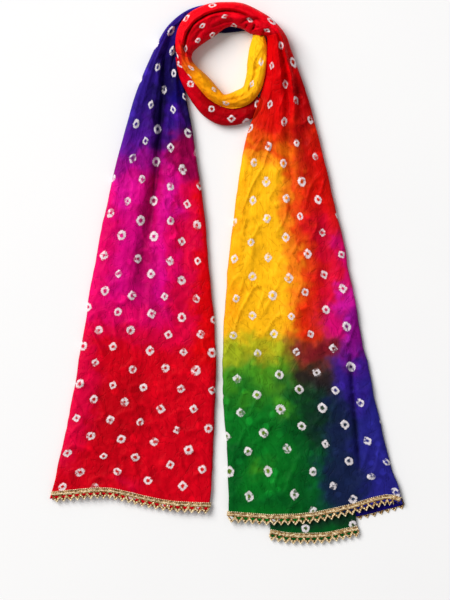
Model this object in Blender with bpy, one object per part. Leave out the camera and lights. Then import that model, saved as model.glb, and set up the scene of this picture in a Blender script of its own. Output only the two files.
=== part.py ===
"""Tie-dyed stole with a gold lace edge, wound once into a neck loop and laid flat with two long tails.

Units are metres. The stole lies on the plane z = 0, the tails run down towards -Y and the loop is at +Y.
Every stretch of cloth is lofted across stations: each station gives the two edges of the stretch, the
height of its crest, how far in from its edges it rounds over, and the groove between its lobes.
Stretches are made from the lowest to the highest, and each one is lifted clear of what it lies on.
"""

import math
from collections import namedtuple

import bmesh
import bpy
import numpy as np
from mathutils import Matrix, Vector
from mathutils.bvhtree import BVHTree

# Middle of the laid-out stole in the plane of the tables below; it becomes the part's origin
PLAN_CENTRE = (-0.00175, -0.00202)

# Clearances and cloth thickness
SEAM_GAP = 0.0003
LAY_GAP = 0.0005
FRONT_WALL = 0.0016
UNDER_WALL = 0.0012

# Lace: a woven band with a row of open points below it
LACE_THICK = 0.0010
LACE_BAND = 0.0080
LACE_POINT = 0.0100
LACE_PITCH = 0.0111
POINT_HALF_TIP = 0.0011
POINT_ROOT = 0.0026
POINT_HOLE_DEPTH = 0.0040
POINT_NOTCH_TOP = 0.0050
LACE_SEAT = 0.0004
LACE_PROBE = 0.0032
LACE_PROBES = 12
LACE_ACROSS = (0.004, 0.996)
LACE_LINE_POINTS = 40

# The cloth's own edge lies behind the points, this far below the band
HEM_BEHIND = 0.0046
HEM_DEPTH = LACE_BAND + HEM_BEHIND

# The free hem: the front wall reaches over the under layers for this length
HEM_OVERHANG = 0.0290
RECESS_STEP = 0.0004
HEM_BLEND = 0.0450
HEM_CURVE_FADE = 0.1200

# Share of a stretch's height at which its two edges lie, and how it rounds over towards them
EDGE_LEVEL = 0.45
UNDER_ROUNDING = 0.5
MOST_ROUNDING = 0.499
LEAST_WALL = 0.5
LEAST_BODY = 0.0008

# Shares of a fold's length over which it deepens and fades
FOLD_RISE = 0.2
FOLD_FADE = 0.3

SAMPLES_PER_CELL = 8
CELL_REACH = 0.15
RAY_TOP = 0.2
LINE_POINTS = 400

Station = namedtuple("Station", "outer_x outer_y inner_x inner_y crest rounding groove groove_depth")
OUTER = slice(0, 2)
INNER = slice(2, 4)
CREST, ROUNDING, GROOVE, GROOVE_DEPTH = range(4, 8)
Fold = namedtuple("Fold", "depth width points")

# Left run, from the left hem up, under the loop and along the back of the neck
LEFT_RUN = (
    Station(-0.2850, -0.3628, -0.0304, -0.3807, 0.0072, 0.004, 0.5, 0.0),
    Station(-0.2824, -0.3504, -0.0296, -0.3680, 0.0074, 0.005, 0.5, 0.0),
    Station(-0.2600, -0.2560, -0.0232, -0.2624, 0.0090, 0.010, 0.5, 0.0),
    Station(-0.2360, -0.1216, -0.0200, -0.1248, 0.0105, 0.012, 0.5, 0.0),
    Station(-0.2136, 0.0128, -0.0312, 0.0096, 0.0120, 0.014, 0.5, 0.0),
    Station(-0.1944, 0.1088, -0.0392, 0.1040, 0.0135, 0.014, 0.5, 0.0),
    Station(-0.1768, 0.1856, -0.0504, 0.1776, 0.0150, 0.015, 0.5, 0.0),
    Station(-0.1608, 0.2432, -0.0584, 0.2320, 0.0160, 0.015, 0.5, 0.0),
    Station(-0.1464, 0.2912, -0.0664, 0.2736, 0.0160, 0.014, 0.5, 0.0),
    Station(-0.1304, 0.3296, -0.0712, 0.3072, 0.0160, 0.014, 0.5, 0.0),
    Station(-0.1160, 0.3616, -0.0712, 0.3344, 0.0155, 0.014, 0.5, 0.0),
    Station(-0.0968, 0.3936, -0.0648, 0.3584, 0.0150, 0.014, 0.5, 0.0),
    Station(-0.0712, 0.4160, -0.0504, 0.3744, 0.0140, 0.014, 0.5, 0.0),
    Station(-0.0392, 0.4272, -0.0264, 0.3816, 0.0130, 0.014, 0.5, 0.0),
    Station(-0.0040, 0.4280, -0.0024, 0.3819, 0.0120, 0.014, 0.5, 0.0),
    Station(0.0296, 0.4240, 0.0280, 0.3856, 0.0100, 0.012, 0.5, 0.0),
)
LEFT_TAIL_END = 12

# Right run, from the right hem up, over the top of the loop, down its left and round its inside
RIGHT_RUN = (
    Station(0.2789, -0.3720, -0.0008, -0.3947, 0.0074, 0.004, 0.5, 0.0),
    Station(0.2760, -0.3597, -0.0006, -0.3821, 0.0076, 0.005, 0.5, 0.0),
    Station(0.2584, -0.3040, -0.0008, -0.3040, 0.0088, 0.010, 0.5, 0.0),
    Station(0.2376, -0.2176, -0.0072, -0.2176, 0.0100, 0.012, 0.5, 0.0),
    Station(0.2168, -0.1216, -0.0088, -0.1216, 0.0110, 0.013, 0.5, 0.0),
    Station(0.1992, -0.0320, -0.0048, -0.0320, 0.0120, 0.014, 0.5, 0.0),
    Station(0.1800, 0.0640, 0.0056, 0.0640, 0.0130, 0.015, 0.5, 0.0),
    Station(0.1608, 0.1472, 0.0168, 0.1472, 0.0145, 0.016, 0.5, 0.0),
    Station(0.1432, 0.2176, 0.0280, 0.2144, 0.0170, 0.017, 0.5, 0.0),
    Station(0.1288, 0.2720, 0.0472, 0.2704, 0.0210, 0.018, 0.5, 0.0),
    Station(0.1128, 0.3200, 0.0584, 0.3136, 0.0270, 0.019, 0.5, 0.0),
    Station(0.1000, 0.3552, 0.0608, 0.3472, 0.0320, 0.018, 0.5, 0.0),
    Station(0.0888, 0.3824, 0.0600, 0.3760, 0.0350, 0.014, 0.55, 0.0),
    Station(0.0712, 0.4024, 0.0488, 0.3776, 0.0365, 0.015, 0.55, 0.0),
    Station(0.0504, 0.4168, 0.0344, 0.3808, 0.0370, 0.017, 0.50, 0.0040),
    Station(0.0280, 0.4275, 0.0232, 0.3872, 0.0375, 0.018, 0.43, 0.0100),
    Station(-0.0040, 0.4310, 0.0008, 0.3912, 0.0380, 0.018, 0.37, 0.0120),
    Station(-0.0408, 0.4256, -0.0248, 0.3744, 0.0380, 0.018, 0.33, 0.0120),
    Station(-0.0664, 0.4104, -0.0376, 0.3664, 0.0385, 0.018, 0.36, 0.0110),
    Station(-0.0808, 0.3888, -0.0480, 0.3592, 0.0390, 0.018, 0.42, 0.0110),
    Station(-0.0851, 0.3680, -0.0568, 0.3504, 0.0395, 0.016, 0.52, 0.0080),
    Station(-0.0840, 0.3488, -0.0584, 0.3392, 0.0395, 0.013, 0.62, 0.0030),
    Station(-0.0768, 0.3312, -0.0512, 0.3288, 0.0380, 0.012, 0.5, 0.0),
    Station(-0.0648, 0.3144, -0.0392, 0.3184, 0.0355, 0.012, 0.5, 0.0),
    Station(-0.0496, 0.2960, -0.0256, 0.3048, 0.0320, 0.012, 0.5, 0.0),
    Station(-0.0280, 0.2736, -0.0120, 0.2880, 0.0290, 0.011, 0.5, 0.0),
    Station(-0.0056, 0.2624, -0.0056, 0.2832, 0.0270, 0.010, 0.5, 0.0),
    Station(0.0184, 0.2624, 0.0120, 0.2896, 0.0260, 0.013, 0.5, 0.0),
    Station(0.0376, 0.2720, 0.0232, 0.2960, 0.0255, 0.013, 0.5, 0.0),
    Station(0.0504, 0.2880, 0.0264, 0.3072, 0.0250, 0.014, 0.5, 0.0),
    Station(0.0584, 0.3104, 0.0288, 0.3184, 0.0250, 0.014, 0.5, 0.0),
    Station(0.0624, 0.3344, 0.0301, 0.3360, 0.0250, 0.015, 0.5, 0.0),
    Station(0.0624, 0.3584, 0.0336, 0.3600, 0.0245, 0.014, 0.5, 0.0),
    Station(0.0584, 0.3760, 0.0384, 0.3760, 0.0240, 0.010, 0.5, 0.0),
    Station(0.0552, 0.3888, 0.0408, 0.3888, 0.0230, 0.007, 0.5, 0.0),
)
RIGHT_TAIL_END = 12
LOOP_TOP_END = 21

# Low roll, outside the inner roll, from its left end round the bottom to the right tail
LOW_RUN = (
    Station(-0.0840, 0.3424, -0.0776, 0.3456, 0.0250, 0.003, 0.5, 0.0),
    Station(-0.0824, 0.3280, -0.0664, 0.3280, 0.0260, 0.007, 0.5, 0.0),
    Station(-0.0776, 0.3088, -0.0552, 0.3168, 0.0255, 0.011, 0.5, 0.0),
    Station(-0.0680, 0.2880, -0.0440, 0.3024, 0.0240, 0.013, 0.5, 0.0),
    Station(-0.0552, 0.2672, -0.0328, 0.2864, 0.0215, 0.014, 0.5, 0.0),
    Station(-0.0360, 0.2464, -0.0200, 0.2720, 0.0195, 0.014, 0.5, 0.0),
    Station(-0.0136, 0.2352, -0.0072, 0.2672, 0.0185, 0.014, 0.5, 0.0),
    Station(0.0088, 0.2344, 0.0056, 0.2672, 0.0180, 0.014, 0.5, 0.0),
    Station(0.0280, 0.2400, 0.0200, 0.2704, 0.0175, 0.014, 0.5, 0.0),
    Station(0.0440, 0.2496, 0.0328, 0.2784, 0.0165, 0.013, 0.5, 0.0),
    Station(0.0568, 0.2624, 0.0424, 0.2880, 0.0150, 0.012, 0.5, 0.0),
)

GROOVE_WIDTH = 0.0042

# Hem lines: how far the hem runs below (+) or above (-) a straight line between its corners
HemPoint = namedtuple("HemPoint", "across drop")
LEFT_HEM = (
    HemPoint(0.00, 0.0),
    HemPoint(0.12, -0.0051),
    HemPoint(0.21, -0.0092),
    HemPoint(0.30, -0.0124),
    HemPoint(0.38, -0.0129),
    HemPoint(0.47, -0.0093),
    HemPoint(0.58, -0.0042),
    HemPoint(0.69, 0.0),
    HemPoint(0.79, 0.0016),
    HemPoint(0.90, 0.0011),
    HemPoint(1.00, 0.0),
)
RIGHT_HEM = (
    HemPoint(0.00, 0.0),
    HemPoint(0.04, -0.0050),
    HemPoint(0.09, -0.0069),
    HemPoint(0.17, -0.0037),
    HemPoint(0.28, 0.0038),
    HemPoint(0.39, 0.0085),
    HemPoint(0.50, 0.0126),
    HemPoint(0.61, 0.0133),
    HemPoint(0.76, 0.0105),
    HemPoint(0.91, 0.0040),
    HemPoint(1.00, 0.0),
)

# Largest folds in the tails: troughs have a positive depth, ridges a negative one
LEFT_FOLDS = (
    Fold(0.0060, 0.010, ((-0.102, 0.339), (-0.112, 0.227), (-0.116, 0.163), (-0.129, 0.099),
                         (-0.138, 0.035), (-0.144, -0.029), (-0.161, -0.074))),
    Fold(-0.0025, 0.016, ((-0.086, 0.250), (-0.097, 0.163), (-0.100, 0.051), (-0.104, -0.060))),
    Fold(0.0022, 0.012, ((-0.156, 0.240), (-0.176, 0.130), (-0.196, 0.010))),
    Fold(0.0020, 0.014, ((-0.072, 0.120), (-0.070, 0.000), (-0.078, -0.150))),
    Fold(0.0015, 0.016, ((-0.190, -0.120), (-0.214, -0.250), (-0.226, -0.345))),
    Fold(0.0016, 0.018, ((-0.120, -0.200), (-0.128, -0.290), (-0.122, -0.360))),
)
RIGHT_FOLDS = (
    Fold(0.0050, 0.007, ((0.090, 0.350), (0.092, 0.310), (0.087, 0.270))),
    Fold(0.0045, 0.008, ((0.115, 0.310), (0.110, 0.230))),
    Fold(0.0030, 0.009, ((0.113, 0.243), (0.116, 0.180), (0.118, 0.122))),
    Fold(0.0030, 0.010, ((0.152, 0.122), (0.156, 0.010), (0.156, -0.106))),
    Fold(0.0022, 0.008, ((0.194, -0.126), (0.199, -0.187), (0.205, -0.269), (0.210, -0.341))),
    Fold(0.0022, 0.012, ((0.058, 0.215), (0.050, 0.130), (0.044, 0.040))),
    Fold(-0.0018, 0.020, ((0.100, 0.060), (0.110, -0.070), (0.112, -0.190))),
    Fold(0.0014, 0.018, ((0.060, -0.180), (0.058, -0.280), (0.050, -0.375))),
)

# The right tail's under layers: where they lie between the hem's corners, and their own hems
UnderHem = namedtuple("UnderHem", "x y")
BLUE_ACROSS = (0.010, 0.590)
BLUE_HEM = (UnderHem(0.2776, -0.3725), UnderHem(0.2722, -0.3742), UnderHem(0.2482, -0.3805),
            UnderHem(0.2272, -0.3862), UnderHem(0.2046, -0.3910), UnderHem(0.1624, -0.4000),
            UnderHem(0.1144, -0.4104))
STRIP_ACROSS = (0.256, 0.758)
STRIP_HEM = (UnderHem(0.2064, -0.4176), UnderHem(0.1816, -0.4229), UnderHem(0.1566, -0.4280),
             UnderHem(0.1299, -0.4294), UnderHem(0.0960, -0.4288), UnderHem(0.0672, -0.4234))
LEFT_UNDER_ACROSS = (0.012, 0.985)
LEFT_UNDER_DROP = 0.0020

# Heights of the layers at the right hem, from the surface up
BLUE_LACE_Z = 0.0
BLUE_Z = BLUE_LACE_Z + LACE_THICK + SEAM_GAP
STRIP_Z = BLUE_Z + UNDER_WALL + SEAM_GAP
STRIP_LACE_Z = STRIP_Z + UNDER_WALL + SEAM_GAP
LEFT_UNDER_Z = 0.0022

TAIL_COLUMNS = 19
TAIL_ROWS_PER_STATION = 3
LEAST_ROW_STEP = 0.004
BACK_COLUMNS = 11
BACK_ROWS_PER_STATION = 4
ROLL_COLUMNS = 13
ROLL_ROWS_PER_STATION = 3
TOP_COLUMNS = 21
TOP_ROWS_PER_STATION = 4
SLAB_COLUMNS = 14

Finish = namedtuple("Finish", "colour roughness metallic")
FINISHES = {
    "left_tail": Finish((0.42, 0.015, 0.045), 0.62, 0.0),
    "left_under": Finish((0.30, 0.010, 0.030), 0.62, 0.0),
    "neck_back": Finish((0.010, 0.012, 0.060), 0.62, 0.0),
    "loop_low": Finish((0.40, 0.012, 0.020), 0.62, 0.0),
    "loop_roll": Finish((0.72, 0.30, 0.015), 0.62, 0.0),
    "loop_top": Finish((0.36, 0.010, 0.020), 0.62, 0.0),
    "right_tail": Finish((0.60, 0.24, 0.020), 0.62, 0.0),
    "right_under": Finish((0.020, 0.016, 0.120), 0.62, 0.0),
    "right_strip": Finish((0.010, 0.160, 0.030), 0.62, 0.0),
    "lace": Finish((0.62, 0.40, 0.12), 0.38, 0.6),
}


def hermite(knots, values, places):
    """Smooth curve through values at knots, read at places, for uneven knots."""
    slopes = np.gradient(values, knots, axis=0)
    index = np.clip(np.searchsorted(knots, places, side="right") - 1, 0, len(knots) - 2)
    span = (knots[index + 1] - knots[index])[:, None]
    t = (places - knots[index])[:, None] / span
    first = (1 + 2 * t) * (1 - t) ** 2 * values[index]
    last = t * t * (3 - 2 * t) * values[index + 1]
    bend = t * (1 - t) * span * ((1 - t) * slopes[index] - t * slopes[index + 1])
    return first + last + bend


def smooth_step(value):
    value = np.clip(value, 0.0, 1.0)
    return value * value * (3 - 2 * value)


def path_distance(points, path):
    """Distance of each point to a polyline, and how far along the polyline its nearest place is, 0 to 1."""
    path = np.array(path)
    lengths = np.linalg.norm(np.diff(path, axis=0), axis=1)
    starts = np.concatenate([[0.0], np.cumsum(lengths)])
    best = np.full(points.shape[:-1], np.inf)
    along = np.zeros(points.shape[:-1])
    for i, length in enumerate(lengths):
        direction = (path[i + 1] - path[i]) / length
        offset = points - path[i]
        reach = np.clip(offset @ direction, 0.0, length)
        distance = np.linalg.norm(offset - reach[..., None] * direction, axis=-1)
        nearer = distance < best
        best = np.where(nearer, distance, best)
        along = np.where(nearer, (starts[i] + reach) / starts[-1], along)
    return best, along


class Run:
    """One run of cloth, read at s, the distance along it, and u, 0 at its outer edge and 1 at its inner."""

    def __init__(self, stations, hem=None, folds=()):
        self.values = np.array(stations)
        middles = (self.values[:, OUTER] + self.values[:, INNER]) / 2
        steps = np.linalg.norm(np.diff(middles, axis=0), axis=1)
        self.knots = np.concatenate([[0.0], np.cumsum(steps)])
        self.hem = np.array(hem) if hem else None
        self.folds = folds
        self.recess = HEM_OVERHANG if hem else None

    def rows(self, first, last, per_station):
        """Distances along the run between two stations, evenly shared between their neighbours."""
        count = (last - first) * per_station + 1
        places = np.linspace(first, last, count)
        return np.interp(places, np.arange(len(self.knots)), self.knots)

    def across(self, s, columns):
        """Places across the run for each row, drawn towards its groove so that one column follows it."""
        groove = np.interp(s, self.knots, self.values[:, GROOVE])
        power = np.log(groove) / math.log(0.5)
        return columns[None, :] ** power[:, None]

    def points(self, s, u):
        """Places in the plane for each s and u, with the hem's own curve."""
        at = hermite(self.knots, self.values, s)
        outer = at[:, None, OUTER]
        inner = at[:, None, INNER]
        xy = outer + u[..., None] * (inner - outer)
        if self.hem is not None:
            fade = 1 - smooth_step(s / HEM_CURVE_FADE)
            xy[..., 1] -= fade[:, None] * np.interp(u, self.hem[:, 0], self.hem[:, 1])
        return xy

    def heights(self, s, u, xy):
        """Planned heights of the top and of the underside, before anything is lifted."""
        at = hermite(self.knots, self.values, s)
        width = np.linalg.norm(at[:, INNER] - at[:, OUTER], axis=1)[:, None]
        crest = at[:, CREST][:, None]
        rounding = np.minimum(at[:, ROUNDING], MOST_ROUNDING * width[:, 0])[:, None]
        from_edge = np.minimum(u, 1 - u) * width
        edge = crest * EDGE_LEVEL
        if self.recess:
            free = 1 - smooth_step((s - self.recess) / HEM_BLEND)[:, None]
            edge = edge + free * (crest - FRONT_WALL / 2 - edge)
        arch = np.sqrt(1 - (1 - np.minimum(from_edge / rounding, 1)) ** 2)
        base_arch = np.sqrt(1 - (1 - np.minimum(from_edge / (UNDER_ROUNDING * rounding), 1)) ** 2)
        groove_at = np.interp(s, self.knots, self.values[:, GROOVE])[:, None]
        groove = at[:, GROOVE_DEPTH][:, None] * np.exp(-(((u - groove_at) * width / GROOVE_WIDTH) ** 2))
        top = crest - groove - self.fold_depth(xy)
        top = edge + (top - edge) * arch
        under = edge * (1 - base_arch)
        if self.recess:
            free = (s < self.recess)[:, None] & (from_edge > 0)
            under = np.where(free, top - FRONT_WALL * np.maximum(arch, LEAST_WALL), under)
        top[:, 0] = under[:, 0] = edge[:, 0]
        top[:, -1] = under[:, -1] = edge[:, 0]
        return top, under

    def fold_depth(self, xy):
        """How far the folds take the top down at each place."""
        depth = np.zeros(xy.shape[:-1])
        for fold in self.folds:
            distance, along = path_distance(xy, fold.points)
            ends = smooth_step(along / FOLD_RISE) * smooth_step((1 - along) / FOLD_FADE)
            depth += fold.depth * ends * np.exp(-((distance / fold.width) ** 2))
        return depth


def cosine_spacing(count):
    """Places from 0 to 1, closer together near the ends, where the cloth turns over."""
    return (1 - np.cos(np.linspace(0, math.pi, count))) / 2


def eased_spacing(count):
    """Places from 0 to 1, halfway between even spacing and cosine spacing."""
    return (cosine_spacing(count) + np.linspace(0, 1, count)) / 2


def material(name):
    finish = FINISHES[name]
    made = bpy.data.materials.new(name)
    made.use_nodes = True
    shader = made.node_tree.nodes["Principled BSDF"]
    shader.inputs["Base Color"].default_value = (*finish.colour, 1.0)
    shader.inputs["Roughness"].default_value = finish.roughness
    shader.inputs["Metallic"].default_value = finish.metallic
    return made


def make_object(name, vertices, faces, finish):
    """Object of one closed body, triangulated, its faces pointing out, with a material of its own."""
    mesh = bpy.data.meshes.new(name)
    mesh.from_pydata([tuple(map(float, v)) for v in vertices], [], [tuple(map(int, f)) for f in faces])
    body = bmesh.new()
    body.from_mesh(mesh)
    bmesh.ops.recalc_face_normals(body, faces=body.faces)
    bmesh.ops.triangulate(body, faces=body.faces)
    body.to_mesh(mesh)
    body.free()
    mesh.shade_smooth()
    made = bpy.data.objects.new(name, mesh)
    mesh.materials.append(material(finish))
    bpy.context.scene.collection.objects.link(made)
    return made


def tree_of(made):
    vertices = [v.co.copy() for v in made.data.vertices]
    return BVHTree.FromPolygons(vertices, [tuple(p.vertices) for p in made.data.polygons])


def highest(x, y, trees):
    """Height of the highest surface of the trees at x, y, or None where there is none."""
    found = None
    for tree in trees:
        hit = tree.ray_cast(Vector((x, y, RAY_TOP)), Vector((0, 0, -1)))[0]
        if hit is not None and (found is None or hit.z > found):
            found = hit.z
    return found


def rest_heights(xy, trees):
    """Least height of each grid point at which no cell beside it comes closer than LAY_GAP to the trees.

    A cell is read a little past its sides, but never past the stretch's own two ends.
    """
    rows, columns = xy.shape[:2]
    need = np.full((rows, columns), -1.0)
    if not trees:
        return need
    steps = np.linspace(-CELL_REACH, 1 + CELL_REACH, SAMPLES_PER_CELL)
    for i in range(rows - 1):
        first = 0.0 if i == 0 else -CELL_REACH
        last = 1.0 if i == rows - 2 else 1 + CELL_REACH
        for j in range(columns - 1):
            corner, right = xy[i, j], xy[i, j + 1]
            ahead, across = xy[i + 1, j], xy[i + 1, j + 1]
            best = -1.0
            for a in np.clip(steps, first, last):
                near = corner + a * (ahead - corner)
                far = right + a * (across - right)
                for b in steps:
                    x, y = near + b * (far - near)
                    found = highest(x, y, trees)
                    if found is not None and found > best:
                        best = found
            if best > -1.0:
                cell = need[i:i + 2, j:j + 2]
                np.maximum(cell, best + LAY_GAP, out=cell)
    return need


def grid_body(xy, top, under):
    """Vertices and faces of a body between two height grids that share their edge columns."""
    rows, columns = xy.shape[:2]
    vertices = []
    upper = np.zeros((rows, columns), int)
    lower = np.zeros((rows, columns), int)
    for i in range(rows):
        for j in range(columns):
            upper[i, j] = len(vertices)
            vertices.append((*xy[i, j], top[i, j]))
            lower[i, j] = upper[i, j]
            if 0 < j < columns - 1:
                lower[i, j] = len(vertices)
                vertices.append((*xy[i, j], under[i, j]))
    faces = []
    for i in range(rows - 1):
        for j in range(columns - 1):
            faces.append((upper[i, j], upper[i, j + 1], upper[i + 1, j + 1], upper[i + 1, j]))
            faces.append((lower[i, j], lower[i + 1, j], lower[i + 1, j + 1], lower[i, j + 1]))
    for i, turn in ((0, 1), (rows - 1, -1)):
        for j in range(columns - 1):
            ring = [upper[i, j], upper[i, j + 1], lower[i, j + 1], lower[i, j]]
            ring = list(dict.fromkeys(ring))
            faces.append(tuple(ring[::turn]))
    return vertices, faces


def stretch(name, run, s, columns, lies_on):
    """Lofts one stretch of cloth between the first and last places in s, lifted clear of lies_on."""
    u = run.across(s, columns)
    xy = run.points(s, u)
    top, under = run.heights(s, u, xy)
    need = rest_heights(xy, [tree_of(other) for other in lies_on])
    under = np.maximum(under, need)
    least = np.full(len(columns), LEAST_BODY)
    least[0] = least[-1] = 0.0
    top = np.maximum(top, under + least[None, :])
    vertices, faces = grid_body(xy, top, under)
    return make_object(name, vertices, faces, name)


def tail_rows(run, last):
    """Rows of a tail: close together over the free hem, then shared out between the stations."""
    hem = np.array([0.0, 0.5, 1.0]) * (HEM_OVERHANG - RECESS_STEP)
    body = run.rows(1, last, TAIL_ROWS_PER_STATION)
    body = body[body > HEM_OVERHANG + LEAST_ROW_STEP]
    end = np.array([body[-1] - SEAM_GAP / 2])
    return np.concatenate([hem, [HEM_OVERHANG], body[:-1], end])


def slab(name, upper_line, hem_line, z, thickness, finish):
    """Flat under layer between a line just outside the recess and its own hem line."""
    count = len(upper_line)
    xy = np.zeros((3, count, 2))
    for j in range(count):
        xy[0, j] = hem_line[j]
        xy[2, j] = upper_line[j]
        xy[1, j] = (xy[0, j] + xy[2, j]) / 2
    vertices = []
    for height in (z, z + thickness):
        vertices.extend((*xy[i, j], height) for i in range(3) for j in range(count))
    return make_object(name, vertices, layer_faces(3, count), finish)


def layer_faces(rows, columns):
    """Faces of a closed slab whose vertices are a lower grid and then an upper grid."""
    size = rows * columns
    cells = [(i * columns + j, i * columns + j + 1, (i + 1) * columns + j + 1, (i + 1) * columns + j)
             for i in range(rows - 1) for j in range(columns - 1)]
    return closed_layer(cells, size)


def closed_layer(cells, size):
    """Closes a flat net of faces and its copy above it with walls round every free edge."""
    faces = [tuple(reversed(cell)) for cell in cells]
    faces += [tuple(v + size for v in cell) for cell in cells]
    edges = {}
    for cell in cells:
        for a, b in zip(cell, cell[1:] + cell[:1]):
            edges[(a, b)] = True
    for a, b in edges:
        if (b, a) not in edges:
            faces.append((a, b, b + size, a + size))
    return faces


def resample(line, count):
    """Evenly spaced points along a smooth curve through a line's points."""
    line = np.array(line, float)
    lengths = np.linalg.norm(np.diff(line, axis=0), axis=1)
    knots = np.concatenate([[0.0], np.cumsum(lengths)])
    dense = hermite(knots, line, np.linspace(0, knots[-1], LINE_POINTS))
    lengths = np.linalg.norm(np.diff(dense, axis=0), axis=1)
    travelled = np.concatenate([[0.0], np.cumsum(lengths)])
    places = np.linspace(0, travelled[-1], count)
    return np.stack([np.interp(places, travelled, dense[:, k]) for k in range(2)], axis=1)


def line_length(line):
    return float(np.linalg.norm(np.diff(np.array(line), axis=0), axis=1).sum())


def lace(name, top_line, rest, trees):
    """Lace below top_line: a band, then open points, each a V with a hole between it and the band.

    rest is the height of the lace's underside, and trees are what it lies on instead, where given.
    """
    count = max(2, round(line_length(resample(top_line, LINE_POINTS)) / LACE_PITCH))
    line = resample(top_line, 2 * count + 1)
    along = np.gradient(line, axis=0)
    along /= np.linalg.norm(along, axis=1)[:, None]
    down = np.stack([along[:, 1], -along[:, 0]], axis=1)
    if down[:, 1].mean() > 0:
        down = -down
    flat = []

    def add(i, shift, drop):
        flat.append(line[i] + shift * along[i] + drop * down[i])
        return len(flat) - 1

    peaks = []
    for k in range(count + 1):
        i = 2 * k
        before = add(i, -POINT_ROOT, LACE_BAND) if k > 0 else None
        after = add(i, POINT_ROOT, LACE_BAND) if k < count else None
        top, band = add(i, 0, 0), add(i, 0, LACE_BAND)
        notch = add(i, 0, LACE_BAND + POINT_NOTCH_TOP)
        peaks.append((top, band, notch, before, after))
    cells = []
    for k in range(count):
        top_a, band_a, notch_a, _, root_a = peaks[k]
        top_b, band_b, notch_b, root_b, _ = peaks[k + 1]
        i = 2 * k + 1
        top_mid = add(i, 0, 0)
        hole = add(i, 0, LACE_BAND + POINT_HOLE_DEPTH)
        tip_a = add(i, -POINT_HALF_TIP, LACE_BAND + LACE_POINT)
        tip_b = add(i, POINT_HALF_TIP, LACE_BAND + LACE_POINT)
        cells.append((top_a, top_mid, root_a, band_a))
        cells.append((top_mid, top_b, band_b, root_b))
        cells.append((top_mid, root_b, root_a))
        cells.append((band_a, root_a, hole, tip_a, notch_a))
        cells.append((band_b, notch_b, tip_b, hole, root_b))
        cells.append((hole, tip_b, tip_a))
    turns = np.linspace(0, math.tau, LACE_PROBES, endpoint=False)
    probes = [(0.0, 0.0)] + [(LACE_PROBE * math.cos(turn), LACE_PROBE * math.sin(turn)) for turn in turns]
    heights = []
    for x, y in flat:
        found = [highest(x + dx, y + dy, trees) for dx, dy in probes] if trees else []
        found = [z for z in found if z is not None]
        heights.append(max(found) + LACE_SEAT if found else rest)
    lift = smooth_tips(np.array(flat), np.array(heights), rest) if trees else np.array(heights)
    vertices = [(*p, z) for p, z in zip(flat, lift)]
    vertices += [(*p, z + LACE_THICK) for p, z in zip(flat, lift)]
    cells = [counter_clockwise(cell, flat) for cell in cells]
    return make_object(name, vertices, closed_layer(cells, len(flat)), "lace")


def smooth_tips(flat, heights, rest):
    """Points past the cloth's edge take the height of the nearest point that the cloth carries."""
    carried = np.where(heights != rest)[0]
    lifted = heights.copy()
    for i in np.where(heights == rest)[0]:
        nearest = carried[np.argmin(np.linalg.norm(flat[carried] - flat[i], axis=1))]
        lifted[i] = heights[nearest]
    return lifted


def counter_clockwise(cell, flat):
    area = 0.0
    for a, b in zip(cell, cell[1:] + cell[:1]):
        area += flat[a][0] * flat[b][1] - flat[b][0] * flat[a][1]
    return tuple(cell) if area > 0 else tuple(reversed(cell))


def recess_line(run, across, count):
    """Line just outside the recess under the free hem, between two places across the tail."""
    u = np.linspace(across[0], across[1], count)
    return run.points(np.array([HEM_OVERHANG - RECESS_STEP - LAY_GAP]), u[None, :])[0]


def shifted(line, distance):
    """A line moved by a distance towards +Y, away from the hem."""
    return np.array(line) + np.array([0.0, distance])


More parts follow.
